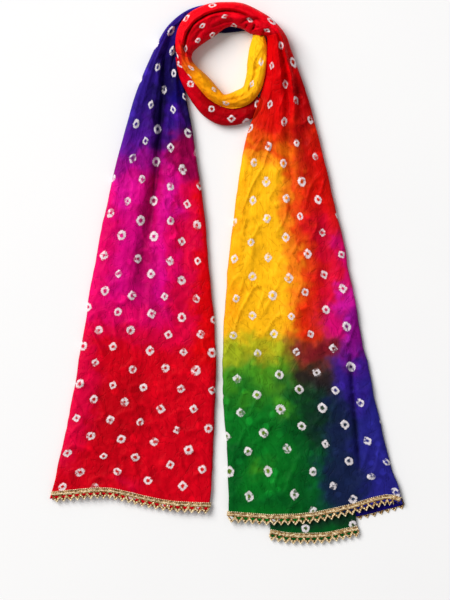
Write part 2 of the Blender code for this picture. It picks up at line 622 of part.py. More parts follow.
def build():
    for old in list(bpy.data.objects):
        bpy.data.objects.remove(old, do_unlink=True)
    left = Run(LEFT_RUN, LEFT_HEM, LEFT_FOLDS)
    right = Run(RIGHT_RUN, RIGHT_HEM, RIGHT_FOLDS)
    low = Run(LOW_RUN)
    tail_u = eased_spacing(TAIL_COLUMNS)

    left_tail = stretch("left_tail", left, tail_rows(left, LEFT_TAIL_END), tail_u, [])
    back_rows = left.rows(LEFT_TAIL_END, len(LEFT_RUN) - 1, BACK_ROWS_PER_STATION)
    back_rows[0] += SEAM_GAP / 2
    neck_back = stretch("neck_back", left, back_rows, eased_spacing(BACK_COLUMNS), [])

    low_rows = low.rows(0, len(LOW_RUN) - 1, ROLL_ROWS_PER_STATION)
    loop_low = stretch("loop_low", low, low_rows, eased_spacing(ROLL_COLUMNS), [left_tail])

    roll_rows = right.rows(LOOP_TOP_END, len(RIGHT_RUN) - 1, ROLL_ROWS_PER_STATION)
    roll_rows[0] += SEAM_GAP / 2
    loop_roll = stretch("loop_roll", right, roll_rows, eased_spacing(ROLL_COLUMNS),
                        [left_tail, loop_low])

    top_rows = right.rows(RIGHT_TAIL_END, LOOP_TOP_END, TOP_ROWS_PER_STATION)
    top_rows[0] += SEAM_GAP / 2
    top_rows[-1] -= SEAM_GAP / 2
    loop_top = stretch("loop_top", right, top_rows, eased_spacing(TOP_COLUMNS),
                       [left_tail, neck_back, loop_low, loop_roll])

    right_tail = stretch("right_tail", right, tail_rows(right, RIGHT_TAIL_END), tail_u,
                         [loop_low, loop_roll])

    left_edge = left.points(np.array([0.0]), np.linspace(*LEFT_UNDER_ACROSS, SLAB_COLUMNS)[None, :])[0]
    slab("left_under", recess_line(left, LEFT_UNDER_ACROSS, SLAB_COLUMNS),
         left_edge - np.array([0.0, LEFT_UNDER_DROP]), LEFT_UNDER_Z, UNDER_WALL, "left_under")
    slab("right_under", recess_line(right, BLUE_ACROSS, SLAB_COLUMNS),
         resample(BLUE_HEM, SLAB_COLUMNS), BLUE_Z, UNDER_WALL, "right_under")
    slab("right_strip", recess_line(right, STRIP_ACROSS, SLAB_COLUMNS),
         resample(STRIP_HEM, SLAB_COLUMNS), STRIP_Z, UNDER_WALL, "right_strip")

    across = np.linspace(*LACE_ACROSS, LACE_LINE_POINTS)[None, :]
    hem_s = np.array([HEM_DEPTH])
    lace("left_lace", left.points(hem_s, across)[0], 0.0, [tree_of(left_tail)])
    lace("right_lace", right.points(hem_s, across)[0], 0.0, [tree_of(right_tail)])
    lace("right_under_lace", shifted(BLUE_HEM, HEM_DEPTH), BLUE_LACE_Z, [])
    lace("right_strip_lace", shifted(STRIP_HEM, HEM_DEPTH), STRIP_LACE_Z, [])

    to_origin = Matrix.Translation((-PLAN_CENTRE[0], -PLAN_CENTRE[1], 0.0))
    for made in bpy.context.scene.collection.objects:
        made.data.transform(to_origin)


build()
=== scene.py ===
"""Looks of a tie-dyed silk stole with a gold lace edge, laid flat and wound once into a neck loop.

Sizes are in metres, but the tables of stations, hems, folds and pours are in millimetres. The cloth is
lofted over the same stations as its solids, at a fine pitch, as a thin shell.
"""

import math
import random
from collections import namedtuple

import bmesh
import bpy
import numpy as np
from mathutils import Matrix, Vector
from mathutils.bvhtree import BVHTree


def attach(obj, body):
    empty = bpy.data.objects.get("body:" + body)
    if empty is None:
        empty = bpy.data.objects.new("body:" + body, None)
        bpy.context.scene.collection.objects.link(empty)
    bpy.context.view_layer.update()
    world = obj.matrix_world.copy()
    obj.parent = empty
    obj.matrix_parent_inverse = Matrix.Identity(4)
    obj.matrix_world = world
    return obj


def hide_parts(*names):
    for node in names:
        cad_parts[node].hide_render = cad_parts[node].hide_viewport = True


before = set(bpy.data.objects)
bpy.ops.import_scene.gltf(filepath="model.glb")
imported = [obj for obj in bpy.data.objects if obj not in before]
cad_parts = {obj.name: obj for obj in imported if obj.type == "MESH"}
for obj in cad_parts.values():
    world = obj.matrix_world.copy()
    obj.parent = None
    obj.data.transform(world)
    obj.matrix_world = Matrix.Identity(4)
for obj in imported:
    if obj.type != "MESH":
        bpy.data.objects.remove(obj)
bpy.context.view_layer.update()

# Middle of the laid-out stole in the plane of the tables below; it is the part's origin
PLAN_CENTRE = np.array([-0.00175, -0.00202])

# Cloth and lace, as in the solids
LAY_GAP = 0.0005
FRONT_WALL = 0.0016
LACE_BAND = 0.0080
LACE_POINT = 0.0100
LACE_PITCH = 0.0111
HEM_BEHIND = 0.0046
HEM_DEPTH = LACE_BAND + HEM_BEHIND
HEM_OVERHANG = 0.0290
HEM_BLEND = 0.0450
HEM_CURVE_FADE = 0.1200
EDGE_LEVEL = 0.45
UNDER_ROUNDING = 0.5
MOST_ROUNDING = 0.499
LEAST_BODY = 0.0016
FOLD_RISE = 0.2
FOLD_FADE = 0.3
GROOVE_WIDTH = 0.0026
GROOVE_EXTRA = 1.10
LOBE_STEP = 0.45
LOBE_RAMP = 0.012
LOBE_START = 0.3

# Walls of the shells, pitch of their rows, and where rays that look for what lies below start
SHELL = 0.0007
UNDER_SHELL = 0.0010
TAIL_PITCH = 0.0023
RING_PITCH = 0.0016
RAY_TOP = 0.2

# Columns of a station: its edges in the plane, its height, how round its edges are, and a groove's
# place across it and depth
OUTER, INNER = slice(0, 2), slice(2, 4)
CREST, ROUNDING, GROOVE, GROOVE_DEPTH = range(4, 8)
NO_GROOVE = (0.5, 0)

Fold = namedtuple("Fold", "depth width points")
Pour = namedtuple("Pour", "shade reach points")


def metres(sizes):
    """Sizes that are given in millimetres."""
    return [round(size / 1000, 7) for size in sizes]


def line(sizes):
    """Points of a line from its x and y in turn, in millimetres."""
    return list(zip(metres(sizes[::2]), metres(sizes[1::2])))


def stations(*rows):
    """Table of a run; a row with no groove leaves the last two columns out."""
    full = [(row + NO_GROOVE)[:8] for row in rows]
    return np.array([metres(row[:GROOVE]) + [row[GROOVE], row[GROOVE_DEPTH] / 1000] for row in full])


def folds(*rows):
    """Folds from their depth, their width and the line they follow."""
    return [Fold(*metres(row[:2]), line(row[2:])) for row in rows]


def pours(*rows):
    """Pours of dye from their shade, their reach and the line they follow."""
    return [Pour(row[0], row[1] / 1000, line(row[2:])) for row in rows]


def hem_line(across, drops):
    """How far a hem runs below (+) or above (-) a straight line between its corners, at shares of it."""
    return np.column_stack([across, metres(drops)])


# Left run, from the left hem up, under the loop and along the back of the neck
LEFT_RUN = stations(
    (-285, -362.8, -30.4, -380.7, 7.2, 4),
    (-282.4, -350.4, -29.6, -368, 7.4, 5),
    (-260, -256, -23.2, -262.4, 9, 10),
    (-236, -121.6, -20, -124.8, 10.5, 12),
    (-213.6, 12.8, -31.2, 9.6, 12, 14),
    (-194.4, 108.8, -39.2, 104, 13.5, 14),
    (-176.8, 185.6, -50.4, 177.6, 15, 15),
    (-160.8, 243.2, -58.4, 232, 16, 15),
    (-146.4, 291.2, -66.4, 273.6, 16, 14),
    (-130.4, 329.6, -71.2, 307.2, 16, 14),
    (-116, 361.6, -71.2, 334.4, 15.5, 14),
    (-96.8, 393.6, -64.8, 358.4, 15, 14),
    (-71.2, 416, -50.4, 374.4, 14, 14),
    (-39.2, 427.2, -26.4, 381.6, 13, 14),
    (-4, 428, -2.4, 381.9, 12, 14),
    (29.6, 424, 28, 385.6, 10, 12),
)
LEFT_TAIL_END = 12

# Right run, from the right hem up, over the top of the loop, down its left and round its inside
RIGHT_RUN = stations(
    (278.9, -372, -0.8, -394.7, 7.4, 4),
    (276, -359.7, -0.6, -382.1, 7.6, 5),
    (258.4, -304, -0.8, -304, 8.8, 10),
    (237.6, -217.6, -7.2, -217.6, 10, 12),
    (216.8, -121.6, -8.8, -121.6, 11, 13),
    (199.2, -32, -4.8, -32, 12, 14),
    (180, 64, 5.6, 64, 13, 15),
    (160.8, 147.2, 16.8, 147.2, 14.5, 16),
    (143.2, 217.6, 28, 214.4, 17, 17),
    (128.8, 272, 47.2, 270.4, 21, 18),
    (112.8, 320, 58.4, 313.6, 27, 19),
    (100, 355.2, 60.8, 347.2, 32, 18),
    (88.8, 382.4, 60, 376, 35, 14, 0.55, 0),
    (71.2, 402.4, 48.8, 377.6, 36.5, 15, 0.55, 0),
    (50.4, 416.8, 34.4, 380.8, 37, 17, 0.5, 4),
    (28, 427.5, 23.2, 387.2, 37.5, 18, 0.43, 10),
    (-4, 431, 0.8, 391.2, 38, 18, 0.37, 12),
    (-40.8, 425.6, -24.8, 374.4, 38, 18, 0.33, 12),
    (-66.4, 410.4, -37.6, 366.4, 38.5, 18, 0.36, 11),
    (-80.8, 388.8, -48, 359.2, 39, 18, 0.42, 11),
    (-85.1, 368, -56.8, 350.4, 39.5, 16, 0.52, 8),
    (-84, 348.8, -58.4, 339.2, 39.5, 13, 0.62, 3),
    (-76.8, 331.2, -51.2, 328.8, 38, 12),
    (-64.8, 314.4, -39.2, 318.4, 35.5, 12),
    (-49.6, 296, -25.6, 304.8, 32, 12),
    (-28, 273.6, -12, 288, 29, 11),
    (-5.6, 262.4, -5.6, 283.2, 27, 10),
    (18.4, 262.4, 12, 289.6, 26, 13),
    (37.6, 272, 23.2, 296, 25.5, 13),
    (50.4, 288, 26.4, 307.2, 25, 14),
    (58.4, 310.4, 28.8, 318.4, 25, 14),
    (62.4, 334.4, 30.1, 336, 25, 15),
    (62.4, 358.4, 33.6, 360, 24.5, 14),
    (58.4, 376, 38.4, 376, 24, 10),
    (55.2, 388.8, 40.8, 388.8, 23, 7),
)
RIGHT_TAIL_END = 12
LOOP_TOP_END = 21
ROLL_CLEAR_OF_TOP = 25

# Low roll, outside the inner roll, from its left end round the bottom to the right tail
LOW_RUN = stations(
    (-84, 342.4, -77.6, 345.6, 25, 3),
    (-82.4, 328, -66.4, 328, 26, 7),
    (-77.6, 308.8, -55.2, 316.8, 25.5, 11),
    (-68, 288, -44, 302.4, 24, 13),
    (-55.2, 267.2, -32.8, 286.4, 21.5, 14),
    (-36, 246.4, -20, 272, 19.5, 14),
    (-13.6, 235.2, -7.2, 267.2, 18.5, 14),
    (8.8, 234.4, 5.6, 267.2, 18, 14),
    (28, 240, 20, 270.4, 17.5, 14),
    (44, 249.6, 32.8, 278.4, 16.5, 13),
    (56.8, 262.4, 42.4, 288, 15, 12),
)

LEFT_HEM = hem_line((0.00, 0.12, 0.21, 0.30, 0.38, 0.47, 0.58, 0.69, 0.79, 0.90, 1.00),
                    (0, -5.1, -9.2, -12.4, -12.9, -9.3, -4.2, 0, 1.6, 1.1, 0))
RIGHT_HEM = hem_line((0.00, 0.04, 0.09, 0.17, 0.28, 0.39, 0.50, 0.61, 0.76, 0.91, 1.00),
                     (0, -5, -6.9, -3.7, 3.8, 8.5, 12.6, 13.3, 10.5, 4, 0))

# Largest folds, as in the solids
LEFT_FOLDS = folds(
    (6, 10, -102, 339, -112, 227, -116, 163, -129, 99, -138, 35, -144, -29, -161, -74),
    (-2.5, 16, -86, 250, -97, 163, -100, 51, -104, -60),
    (2.2, 12, -156, 240, -176, 130, -196, 10),
    (2, 14, -72, 120, -70, 0, -78, -150),
    (1.5, 16, -190, -120, -214, -250, -226, -345),
    (1.6, 18, -120, -200, -128, -290, -122, -360),
)
RIGHT_FOLDS = folds(
    (5, 7, 90, 350, 92, 310, 87, 270),
    (4.5, 8, 115, 310, 110, 230),
    (3, 9, 113, 243, 116, 180, 118, 122),
    (3, 10, 152, 122, 156, 10, 156, -106),
    (2.2, 8, 194, -126, 199, -187, 205, -269, 210, -341),
    (2.2, 12, 58, 215, 50, 130, 44, 40),
    (-1.8, 20, 100, 60, 110, -70, 112, -190),
    (1.4, 18, 60, -180, 58, -280, 50, -375),
)

# Smaller creases that only the cloth has
LEFT_CREASES = folds(
    (10.8, 5.2, -66, 404, -86, 385, -101, 345, -103, 280, -108, 225, -114, 170, -119, 120, -128, 40),
    (3.4, 8.5, -118, 130, -128, 40, -136, -40, -150, -110),
    (1.6, 5, -130, 290, -146, 210, -160, 120, -168, 40),
    (1.4, 4.5, -90, 300, -90, 220, -80, 130, -66, 50),
    (1.2, 5, -118, 80, -116, 10, -108, -50),
    (0.9, 4.5, -60, -20, -110, -60, -150, -110),
    (0.9, 4.5, -45, -180, -95, -210, -120, -260),
    (0.8, 4.5, -230, -80, -190, -130, -160, -200),
    (0.8, 5, -60, -340, -80, -280, -70, -220),
    (1, 4.5, -150, -360, -140, -300, -155, -240),
    (0.8, 5, -250, -300, -200, -290, -160, -320),
)
RIGHT_CREASES = folds(
    (2.2, 4.5, 106, 330, 112, 270, 108, 215),
    (1.4, 4.5, 70, 300, 74, 240, 66, 180, 58, 110),
    (1.6, 4.5, 94, 230, 100, 150, 96, 70),
    (1, 4.5, 38, 150, 26, 60, 20, -40),
    (1.1, 4.5, 30, -30, 62, -24, 86, -38),
    (1, 4.5, 16, -100, 50, -128, 92, -120),
    (5.2, 4.6, 194, -105, 199, -190, 206, -270, 212, -350),
    (1.1, 4.5, 160, -110, 140, -170, 100, -210),
    (1, 5, 20, -180, 60, -220, 110, -230),
    (1, 4.5, 170, -200, 150, -270, 162, -340),
    (0.9, 5, 30, -300, 70, -330, 110, -310),
)
LOOP_CREASES = folds(
    (6, 2.6, -80, 372, -75, 362, -68, 352, -58, 342),
    (6.2, 2.6, 16, 396, 30, 402, 46, 403, 62, 396),
    (5, 1.8, 26, 388, 30, 396),
    (5.5, 1.8, 38, 386, 43, 396),
    (4.5, 2.4, 32, 378, 40, 389, 52, 389),
    (4.5, 2.2, 50, 374, 58, 384, 70, 384),
    (3, 2.6, -30, 388, -6, 398, 14, 400),
    (2.8, 2.6, -58, 364, -46, 382, -36, 390),
    (2.2, 2.4, -40, 374, -22, 386, -6, 392),
    (2.6, 3, 4, 424, 36, 416, 64, 398),
    (2.2, 2.8, -70, 398, -50, 416, -24, 424),
    (2, 2.6, -78, 388, -66, 394, -54, 404),
    (2.4, 2.6, -64, 324, -46, 302, -28, 284),
    (1.4, 2.6, -36, 300, -20, 286, -6, 276),
    (2, 2.6, -12, 272, 14, 276, 30, 284),
    (1.6, 2.8, 32, 292, 42, 314, 44, 340),
    (1.6, 2.6, 4, 282, 18, 272, 36, 276),
    (1.4, 2.4, 36, 318, 52, 330, 58, 352),
)
LOW_CREASES = folds(
    (1.8, 3.2, -76, 318, -60, 288, -36, 266, -10, 256),
    (1.4, 3, -30, 254, 0, 244, 30, 252),
    (1.4, 3, 10, 262, 32, 266, 48, 276),
)

# Under layers: the share of the tail's hem that they lie below, their own hems and their heights
BLUE_ACROSS = (0.010, 0.590)
BLUE_HEM = line((277.6, -372.5, 272.2, -374.2, 248.2, -380.5, 227.2, -386.2, 204.6, -391,
                 162.4, -400, 114.4, -410.4))
BLUE_TOP = 0.0025
STRIP_ACROSS = (0.256, 0.758)
STRIP_HEM = line((206.4, -417.6, 181.6, -422.9, 156.6, -428, 129.9, -429.4, 96, -428.8, 67.2, -423.4))
STRIP_TOP = 0.0040
STRIP_LACE_Z = 0.0041
LEFT_UNDER_ACROSS = (0.012, 0.985)
LEFT_UNDER_DROP = 0.0020
LEFT_UNDER_TOP = 0.0034
UNDER_REACH = 0.060
LEFT_UNDER_CUT = (0.250, UNDER_REACH)
BLUE_CUT = (0.163, UNDER_REACH + 0.012)
STRIP_CUT = (0.141, UNDER_REACH + 0.034)
UNDER_ROWS, UNDER_COLUMNS = 44, 60
UNDER_WARP = 0.006
UNDER_RIPPLE = 0.0007
RIPPLE_SIZE = (0.022, 0.030)
RIPPLE_START = 0.1

# Dyes, as seen in even light; "flare" is a brighter crimson, painted light on the loop's outer lobe
SHADES = {
    "crimson": (202, 1, 23), "cerise": (210, 2, 58), "ruby": (182, 1, 18), "scarlet": (208, 2, 8),
    "flare": (222, 3, 22), "rose": (214, 3, 90), "magenta": (210, 6, 124), "plum": (140, 2, 66),
    "berry": (178, 2, 84), "orchid": (216, 22, 158), "violet": (76, 18, 136), "indigo": (46, 24, 126),
    "blue": (22, 12, 112), "navy": (12, 8, 48), "wine": (156, 2, 8), "flame": (222, 54, 12),
    "orange": (246, 122, 24), "yellow": (253, 184, 20), "amber": (246, 158, 12),
    "fuchsia": (204, 4, 108), "purple": (126, 8, 120), "maroon": (112, 14, 32), "moss": (14, 46, 28),
    "umber": (36, 28, 32), "lime": (160, 178, 30), "leaf": (66, 146, 28), "green": (8, 108, 30),
    "pine": (4, 80, 28), "midnight": (19, 30, 64), "royal": (36, 34, 126), "cream": (244, 236, 240),
}

# Pours of dye: shade, reach and line
LEFT_POURS = pours(
    ("crimson", 50, -270, -330, -170, -345, -80, -335),
    ("ruby", 22, -166, -180, -182, -260, -192, -320),
    ("crimson", 24, -100, -150, -90, -220),
    ("scarlet", 14, -44, 120, -36, 30, -36, -70, -32, -140),
    ("cerise", 15, -68, 110, -68, 20, -74, -80),
    ("crimson", 20, -46, -170, -36, -340),
    ("berry", 9, -114, 140, -120, 60, -126, -10, -130, -70),
    ("orchid", 12, -156, 142, -160, 112),
    ("orchid", 9, -99, 140, -96, 100),
    ("berry", 13, -158, 24, -158, -45),
    ("cerise", 15, -262, -300, -240, -190, -226, -100),
    ("cerise", 14, -200, -88, -150, -104, -100, -104),
    ("cerise", 9, -180, -330, -150, -350),
    ("rose", 22, -224, -50, -206, 40, -190, 105),
    ("rose", 18, -176, -62, -124, -70),
    ("crimson", 22, -200, -130, -130, -140),
    ("magenta", 24, -150, 150, -162, 60, -168, -20),
    ("magenta", 15, -98, 145, -102, 60, -112, -40),
    ("plum", 10, -116, 160, -130, 60, -142, -10),
    ("rose", 9, -80, 110, -84, 20, -92, -60),
    ("violet", 20, -164, 200, -140, 222, -120, 222),
    ("purple", 14, -172, 165, -130, 172),
    ("violet", 8, -82, 262, -74, 240),
    ("plum", 12, -70, 210, -74, 180, -60, 150),
    ("indigo", 20, -150, 250, -130, 300, -110, 352, -70, 412, -30, 428),
    ("blue", 11, -82, 250, -84, 300),
    # The navy along the deep valley and beside the loop is partly dye and partly painted shade of the
    # fold
    ("navy", 10, -110, 206, -108, 290, -98, 350, -80, 384, -54, 404),
    ("navy", 9, -88, 360, -90, 330, -80, 290, -64, 262, -68, 236),
    ("navy", 18, -20, 392, 28, 394),
)
RIGHT_POURS = pours(
    ("scarlet", 30, 82, 350, 86, 290, 74, 240),
    ("wine", 11, 112, 320, 122, 235, 122, 165),
    ("scarlet", 27, 136, 170, 142, 67, 140, -30),
    ("scarlet", 18, 120, -50, 130, -86),
    ("cerise", 14, 148, 80, 152, 10, 158, -60),
    ("flame", 7, 60, 205, 92, 165, 108, 110, 114, 20, 108, -80),
    ("orange", 8, 90, 130, 100, 30, 102, -50),
    ("yellow", 38, 34, 150, 46, 35, 54, -80),
    ("flame", 8, 22, 206, 50, 194),
    ("orange", 8, 20, 190, 60, 172),
    ("amber", 12, 14, 170, 8, 70, 4, -80),
    ("fuchsia", 12, 178, 36, 184, 5),
    ("orchid", 10, 186, -30, 192, -56),
    ("fuchsia", 10, 170, -70, 180, -92),
    ("purple", 12, 202, -60, 206, -100, 206, -135),
    ("maroon", 14, 110, -124, 138, -126, 158, -122),
    ("lime", 14, 2, -130, 34, -116),
    ("lime", 12, 52, -110, 86, -126),
    ("leaf", 15, 4, -172, 26, -152, 60, -170, 88, -150),
    ("leaf", 9, 22, -208, 40, -200),
    ("leaf", 9, 84, -206, 98, -218),
    ("leaf", 7, 46, -300, 58, -308),
    ("green", 40, 26, -185, 42, -270, 50, -350),
    ("pine", 16, 100, -170, 112, -280, 124, -365),
    ("pine", 14, 10, -290, 14, -360, 90, -372),
    ("umber", 14, 128, -160, 150, -172),
    ("moss", 18, 134, -200, 136, -260),
    ("midnight", 22, 170, -215, 172, -280, 178, -345),
    ("indigo", 17, 214, -150, 196, -180, 210, -215),
    ("royal", 27, 236, -210, 244, -284, 264, -350),
)
TOP_POURS = pours(
    # Painted light: the outer lobe takes "flare", a brighter crimson
    ("flare", 15, 68, 396, 34, 418, -22, 427, -62, 406, -83, 366),
    ("crimson", 12, 40, 396, -14, 402, -40, 382, -60, 352),
    # Painted shade: a small dark spot in the notch where the roll's end meets the top of the loop
    ("wine", 4, 60, 384, 68, 379),
    ("flame", 5, -77, 360, -72, 350),
)
ROLL_POURS = pours(
    ("crimson", 6, -86, 356, -80, 334),
    ("ruby", 5, -60, 350, -58, 340),
    ("flame", 6, -77, 360, -71, 344, -62, 326),
    ("flame", 5, -70, 316, -48, 288, -24, 266, 4, 260),
    ("orange", 6, -66, 334, -56, 320),
    ("amber", 14, -53, 315, -22, 286, 2, 272, 30, 280),
    ("yellow", 13, 26, 292, 44, 316, 48, 360),
)
LOW_POURS = pours(
    ("crimson", 14, -80, 332, -68, 300, -46, 266),
    ("wine", 18, -40, 276, -6, 258, 40, 268),
    ("ruby", 12, -20, 242, 20, 244),
)
LEFT_UNDER_POURS = pours(("wine", 200, -200, -360, -100, -360))
# The navy on the blue layer and the moss on the strip lie along their tops, under the tail's hem, as
# painted shadow over their dye
BLUE_POURS = pours(("blue", 6, 272, -374, 200, -391), ("navy", 12, 270, -362, 200, -378))
STRIP_POURS = pours(
    ("pine", 10, 205, -412, 130, -422, 70, -416),
    ("moss", 8, 205, -396, 130, -402, 66, -403),
)

# How the dyes run: how sharp their fronts are, and the size, share and turn of the fronts' wander
DYE_FRONT = 2.0
FRONT_CORE = 0.35
WARP_OCTAVES = ((0.050, 0.8, 0.6), (0.024, 0.7, 1.6), (0.012, 0.6, 2.6), (0.006, 0.4, 3.6))
SPOT_SPACING = 0.030
SPOT_RADIUS = (0.0050, 0.0085)
SPOT_STRENGTH = (0.1, 0.8)
SPOT_EDGE = 0.002

# Tied dots: a pale ring round each, in rows shifted by half a step, closer where the cloth is gathered
Lattice = namedtuple("Lattice", "across along start lean ease size jitter seed")
LEFT_DOTS = Lattice(0.056, 0.0298, 0.010, -0.065, 0.35, 1.00, 0.0045, 14)
RIGHT_DOTS = Lattice(0.066, 0.0306, 0.012, -0.080, 0.35, 1.00, 0.0045, 44)
LOOP_DOTS = Lattice(0.042, 0.0210, 0.004, 0.300, 0.0, 0.78, 0.0080, 34)
LOW_DOTS = Lattice(0.044, 0.0210, 0.012, 0.100, 0.0, 0.78, 0.0060, 24)
Dot = namedtuple("Dot", "s u size turn power seed")
STRIP_DOTS = (Dot(-0.4040, 0.1990, 0.9, 0.0, 1.6, 0.4), Dot(-0.4100, 0.1230, 0.9, 0.0, 1.8, 0.7))
DOTS_A_SIDE = 8
DOT_SIZE = (0.84, 1.08)
DOT_TURN = 0.4
DOT_POWER = (1.1, 1.9)
DOT_PAST_EDGE = 0.05
DOT_RADIUS = 0.0080
DOT_CORE = 0.0031
DOT_REACH = 0.030
DOT_SQUEEZE = 0.40
DOT_MOST_GATHER = 3.5

# How a run is gathered and crinkled, how far its edges wander, and the shade painted into its hollows
Look = namedtuple("Look", "lines depth length coarse fine wave seed")
LEFT_LOOK = Look(8.0, 0.0120, 0.35, 0.0026, 0.0009, 0.0020, 11)
RIGHT_LOOK = Look(8.0, 0.0110, 0.35, 0.0024, 0.0010, 0.0022, 31)
LOOP_LOOK = Look(5.0, 0.0056, 0.07, 0.0017, 0.0014, 0.0020, 61)
LOW_LOOK = Look(3.0, 0.0040, 0.08, 0.0015, 0.0013, 0.0014, 21)
LOOP_CHANGE = 0.06
UNGATHERED_WIDTH = 0.27
GATHER_SPAN = 0.20
GATHER_DRIFT = 0.4
COARSE_SIZE = (0.019, 0.036)
COARSE_SHEAR = (0.5, -0.4)
FINE_SIZE = (0.010, 0.017)
FINE_SHEAR = (-0.6, 0.5)
SWELL_SIZE = (0.045, 0.060)
SWELL_SHARE = 1.2
CRINKLE_POWER = 3
CRINKLE_MEAN = 0.2
# Painted shade: the colour is darkened by this share where the top lies this far below its smoothed self
HOLLOW_DEPTH = 0.0020
HOLLOW_SHADE = 0.74

# Wander of the long edges: its lengths, the share of the short one, how far in it reaches, and how it
# fades where the cloth is narrow
WAVE_LONG = 0.030
WAVE_SHORT = 0.011
SHORT_SHARE = 0.4
WAVE_REACH = 0.020
NARROW_SHARE = 0.3
NARROW_WIDTH = 0.10
NARROW_SPAN = 0.08


def linear(shade):
    """Linear colour of a dye."""
    value = np.array(SHADES[shade]) / 255.0
    return np.where(value <= 0.04045, value / 12.92, ((value + 0.055) / 1.055) ** 2.4)


def smooth_step(value):
    value = np.clip(value, 0.0, 1.0)
    return value * value * (3 - 2 * value)


def between(low, high, share):
    return low * (1 - share) + high * share


def turned(x, y, turn):
    """Coordinates in a frame that is turned by an angle."""
    return x * math.cos(turn) + y * math.sin(turn), y * math.cos(turn) - x * math.sin(turn)


def unit(rows):
    return rows / np.linalg.norm(rows, axis=1)[:, None]


def travelled(path):
    """Distance along a path at each of its points."""
    return np.concatenate([[0.0], np.cumsum(np.linalg.norm(np.diff(path, axis=0), axis=1))])


def running_mean(values, count):
    """Mean over an odd count of neighbours, with the end values held."""
    return np.convolve(np.pad(values, count // 2, mode="edge"), np.ones(count) / count, mode="valid")


def hermite(knots, values, places):
    """Smooth curve through values at knots, read at places, for uneven knots."""
    slopes = np.gradient(values, knots, axis=0)
    index = np.clip(np.searchsorted(knots, places, side="right") - 1, 0, len(knots) - 2)
    span = (knots[index + 1] - knots[index])[:, None]
    t = (places - knots[index])[:, None] / span
    first = (1 + 2 * t) * (1 - t) ** 2 * values[index]
    last = t * t * (3 - 2 * t) * values[index + 1]
    bend = t * (1 - t) * span * ((1 - t) * slopes[index] - t * slopes[index + 1])
    return first + last + bend


def resample(path, count, dense=600):
    """Evenly spaced points along a smooth curve through a path's points, and the curve's length."""
    path = np.array(path, float)
    knots = travelled(path)
    curve = hermite(knots, path, np.linspace(0, knots[-1], dense))
    at = travelled(curve)
    places = np.linspace(0, at[-1], count)
    return np.stack([np.interp(places, at, curve[:, k]) for k in range(2)], axis=1), at[-1]


def path_distance(points, path):
    """Distance of each point to a path, and how far along the path its nearest place is, 0 to 1."""
    path = np.array(path)
    starts = travelled(path)
    best = np.full(points.shape[:-1], np.inf)
    along = np.zeros(points.shape[:-1])
    for i, length in enumerate(np.diff(starts)):
        direction = (path[i + 1] - path[i]) / length
        offset = points - path[i]
        reach = np.clip(offset @ direction, 0.0, length)
        distance = np.linalg.norm(offset - reach[..., None] * direction, axis=-1)
        nearer = distance < best
        best = np.where(nearer, distance, best)
        along = np.where(nearer, (starts[i] + reach) / starts[-1], along)
    return best, along


def fold_depth(chosen, xy):
    """How deep folds press in at each point."""
    depth = np.zeros(xy.shape[:-1])
    for fold in chosen:
        distance, along = path_distance(xy, fold.points)
        ends = smooth_step(along / FOLD_RISE) * smooth_step((1 - along) / FOLD_FADE)
        depth += fold.depth * ends * np.exp(-((distance / fold.width) ** 2))
    return depth


def spaced(count, ends=0.5):
    """Places from 0 to 1, closer together near the ends, where the cloth turns over."""
    even = np.linspace(0, 1, count)
    return ends * (1 - np.cos(math.pi * even)) / 2 + (1 - ends) * even


def blurred(grid, passes=6):
    """Grid smoothed over a few rows and columns."""
    for _ in range(passes):
        wide = np.pad(grid, 1, mode="edge")
        grid = (wide[:-2, 1:-1] + wide[2:, 1:-1] + wide[1:-1, :-2] + wide[1:-1, 2:] + 2 * grid) / 6
    return grid


def grid_faces(index):
    """Quads over a grid of vertex numbers."""
    return [(index[i, j], index[i, j + 1], index[i + 1, j + 1], index[i + 1, j])
            for i in range(index.shape[0] - 1) for j in range(index.shape[1] - 1)]


def numbered(rows, columns, first=0):
    """Grid of vertex numbers."""
    return first + np.arange(rows * columns).reshape(rows, columns)


def stacked(xy, z):
    """Vertices of a grid from its places in the plane and its heights."""
    return np.concatenate([xy, z[..., None]], axis=-1).reshape(-1, 3)


def height_below(tree, x, y):
    """Height of what a search tree holds under a place, or None."""
    hit = tree.ray_cast(Vector((x, y, RAY_TOP)), Vector((0, 0, -1)))[0]
    return None if hit is None else hit.z


def rest_heights(xy, trees):
    """Height that each grid point needs to clear the trees by LAY_GAP, with that of its neighbours."""
    need = np.full(xy.shape[:2], -1.0)
    for tree, low, high in trees:
        for i, j in zip(*np.nonzero(np.all((xy > low) & (xy < high), axis=-1))):
            height = height_below(tree, *xy[i, j])
            if height is not None:
                need[i, j] = max(need[i, j], height + LAY_GAP)
    padded = np.pad(need, 1, mode="edge")
    rows, columns = need.shape
    return np.max([padded[a:a + rows, b:b + columns] for a in range(3) for b in range(3)], axis=0)


class Noise:
    """Smooth random values from 0 to 1 over the plane, the same at each run."""

    SIZE = 128

    def __init__(self, seed):
        self.table = np.random.RandomState(seed).rand(self.SIZE, self.SIZE)

    def __call__(self, x, y):
        column, row = np.floor(x).astype(int), np.floor(y).astype(int)
        tx, ty = smooth_step(x - column), smooth_step(y - row)
        c0, r0 = column % self.SIZE, row % self.SIZE
        c1, r1 = (column + 1) % self.SIZE, (row + 1) % self.SIZE
        near = between(self.table[c0, r0], self.table[c1, r0], tx)
        return between(near, between(self.table[c0, r1], self.table[c1, r1], tx), ty)

    def ridged(self, x, y):
        """Sharp crests where the noise crosses its middle, from 0 to 1."""
        return 1 - np.abs(2 * self(x, y) - 1)


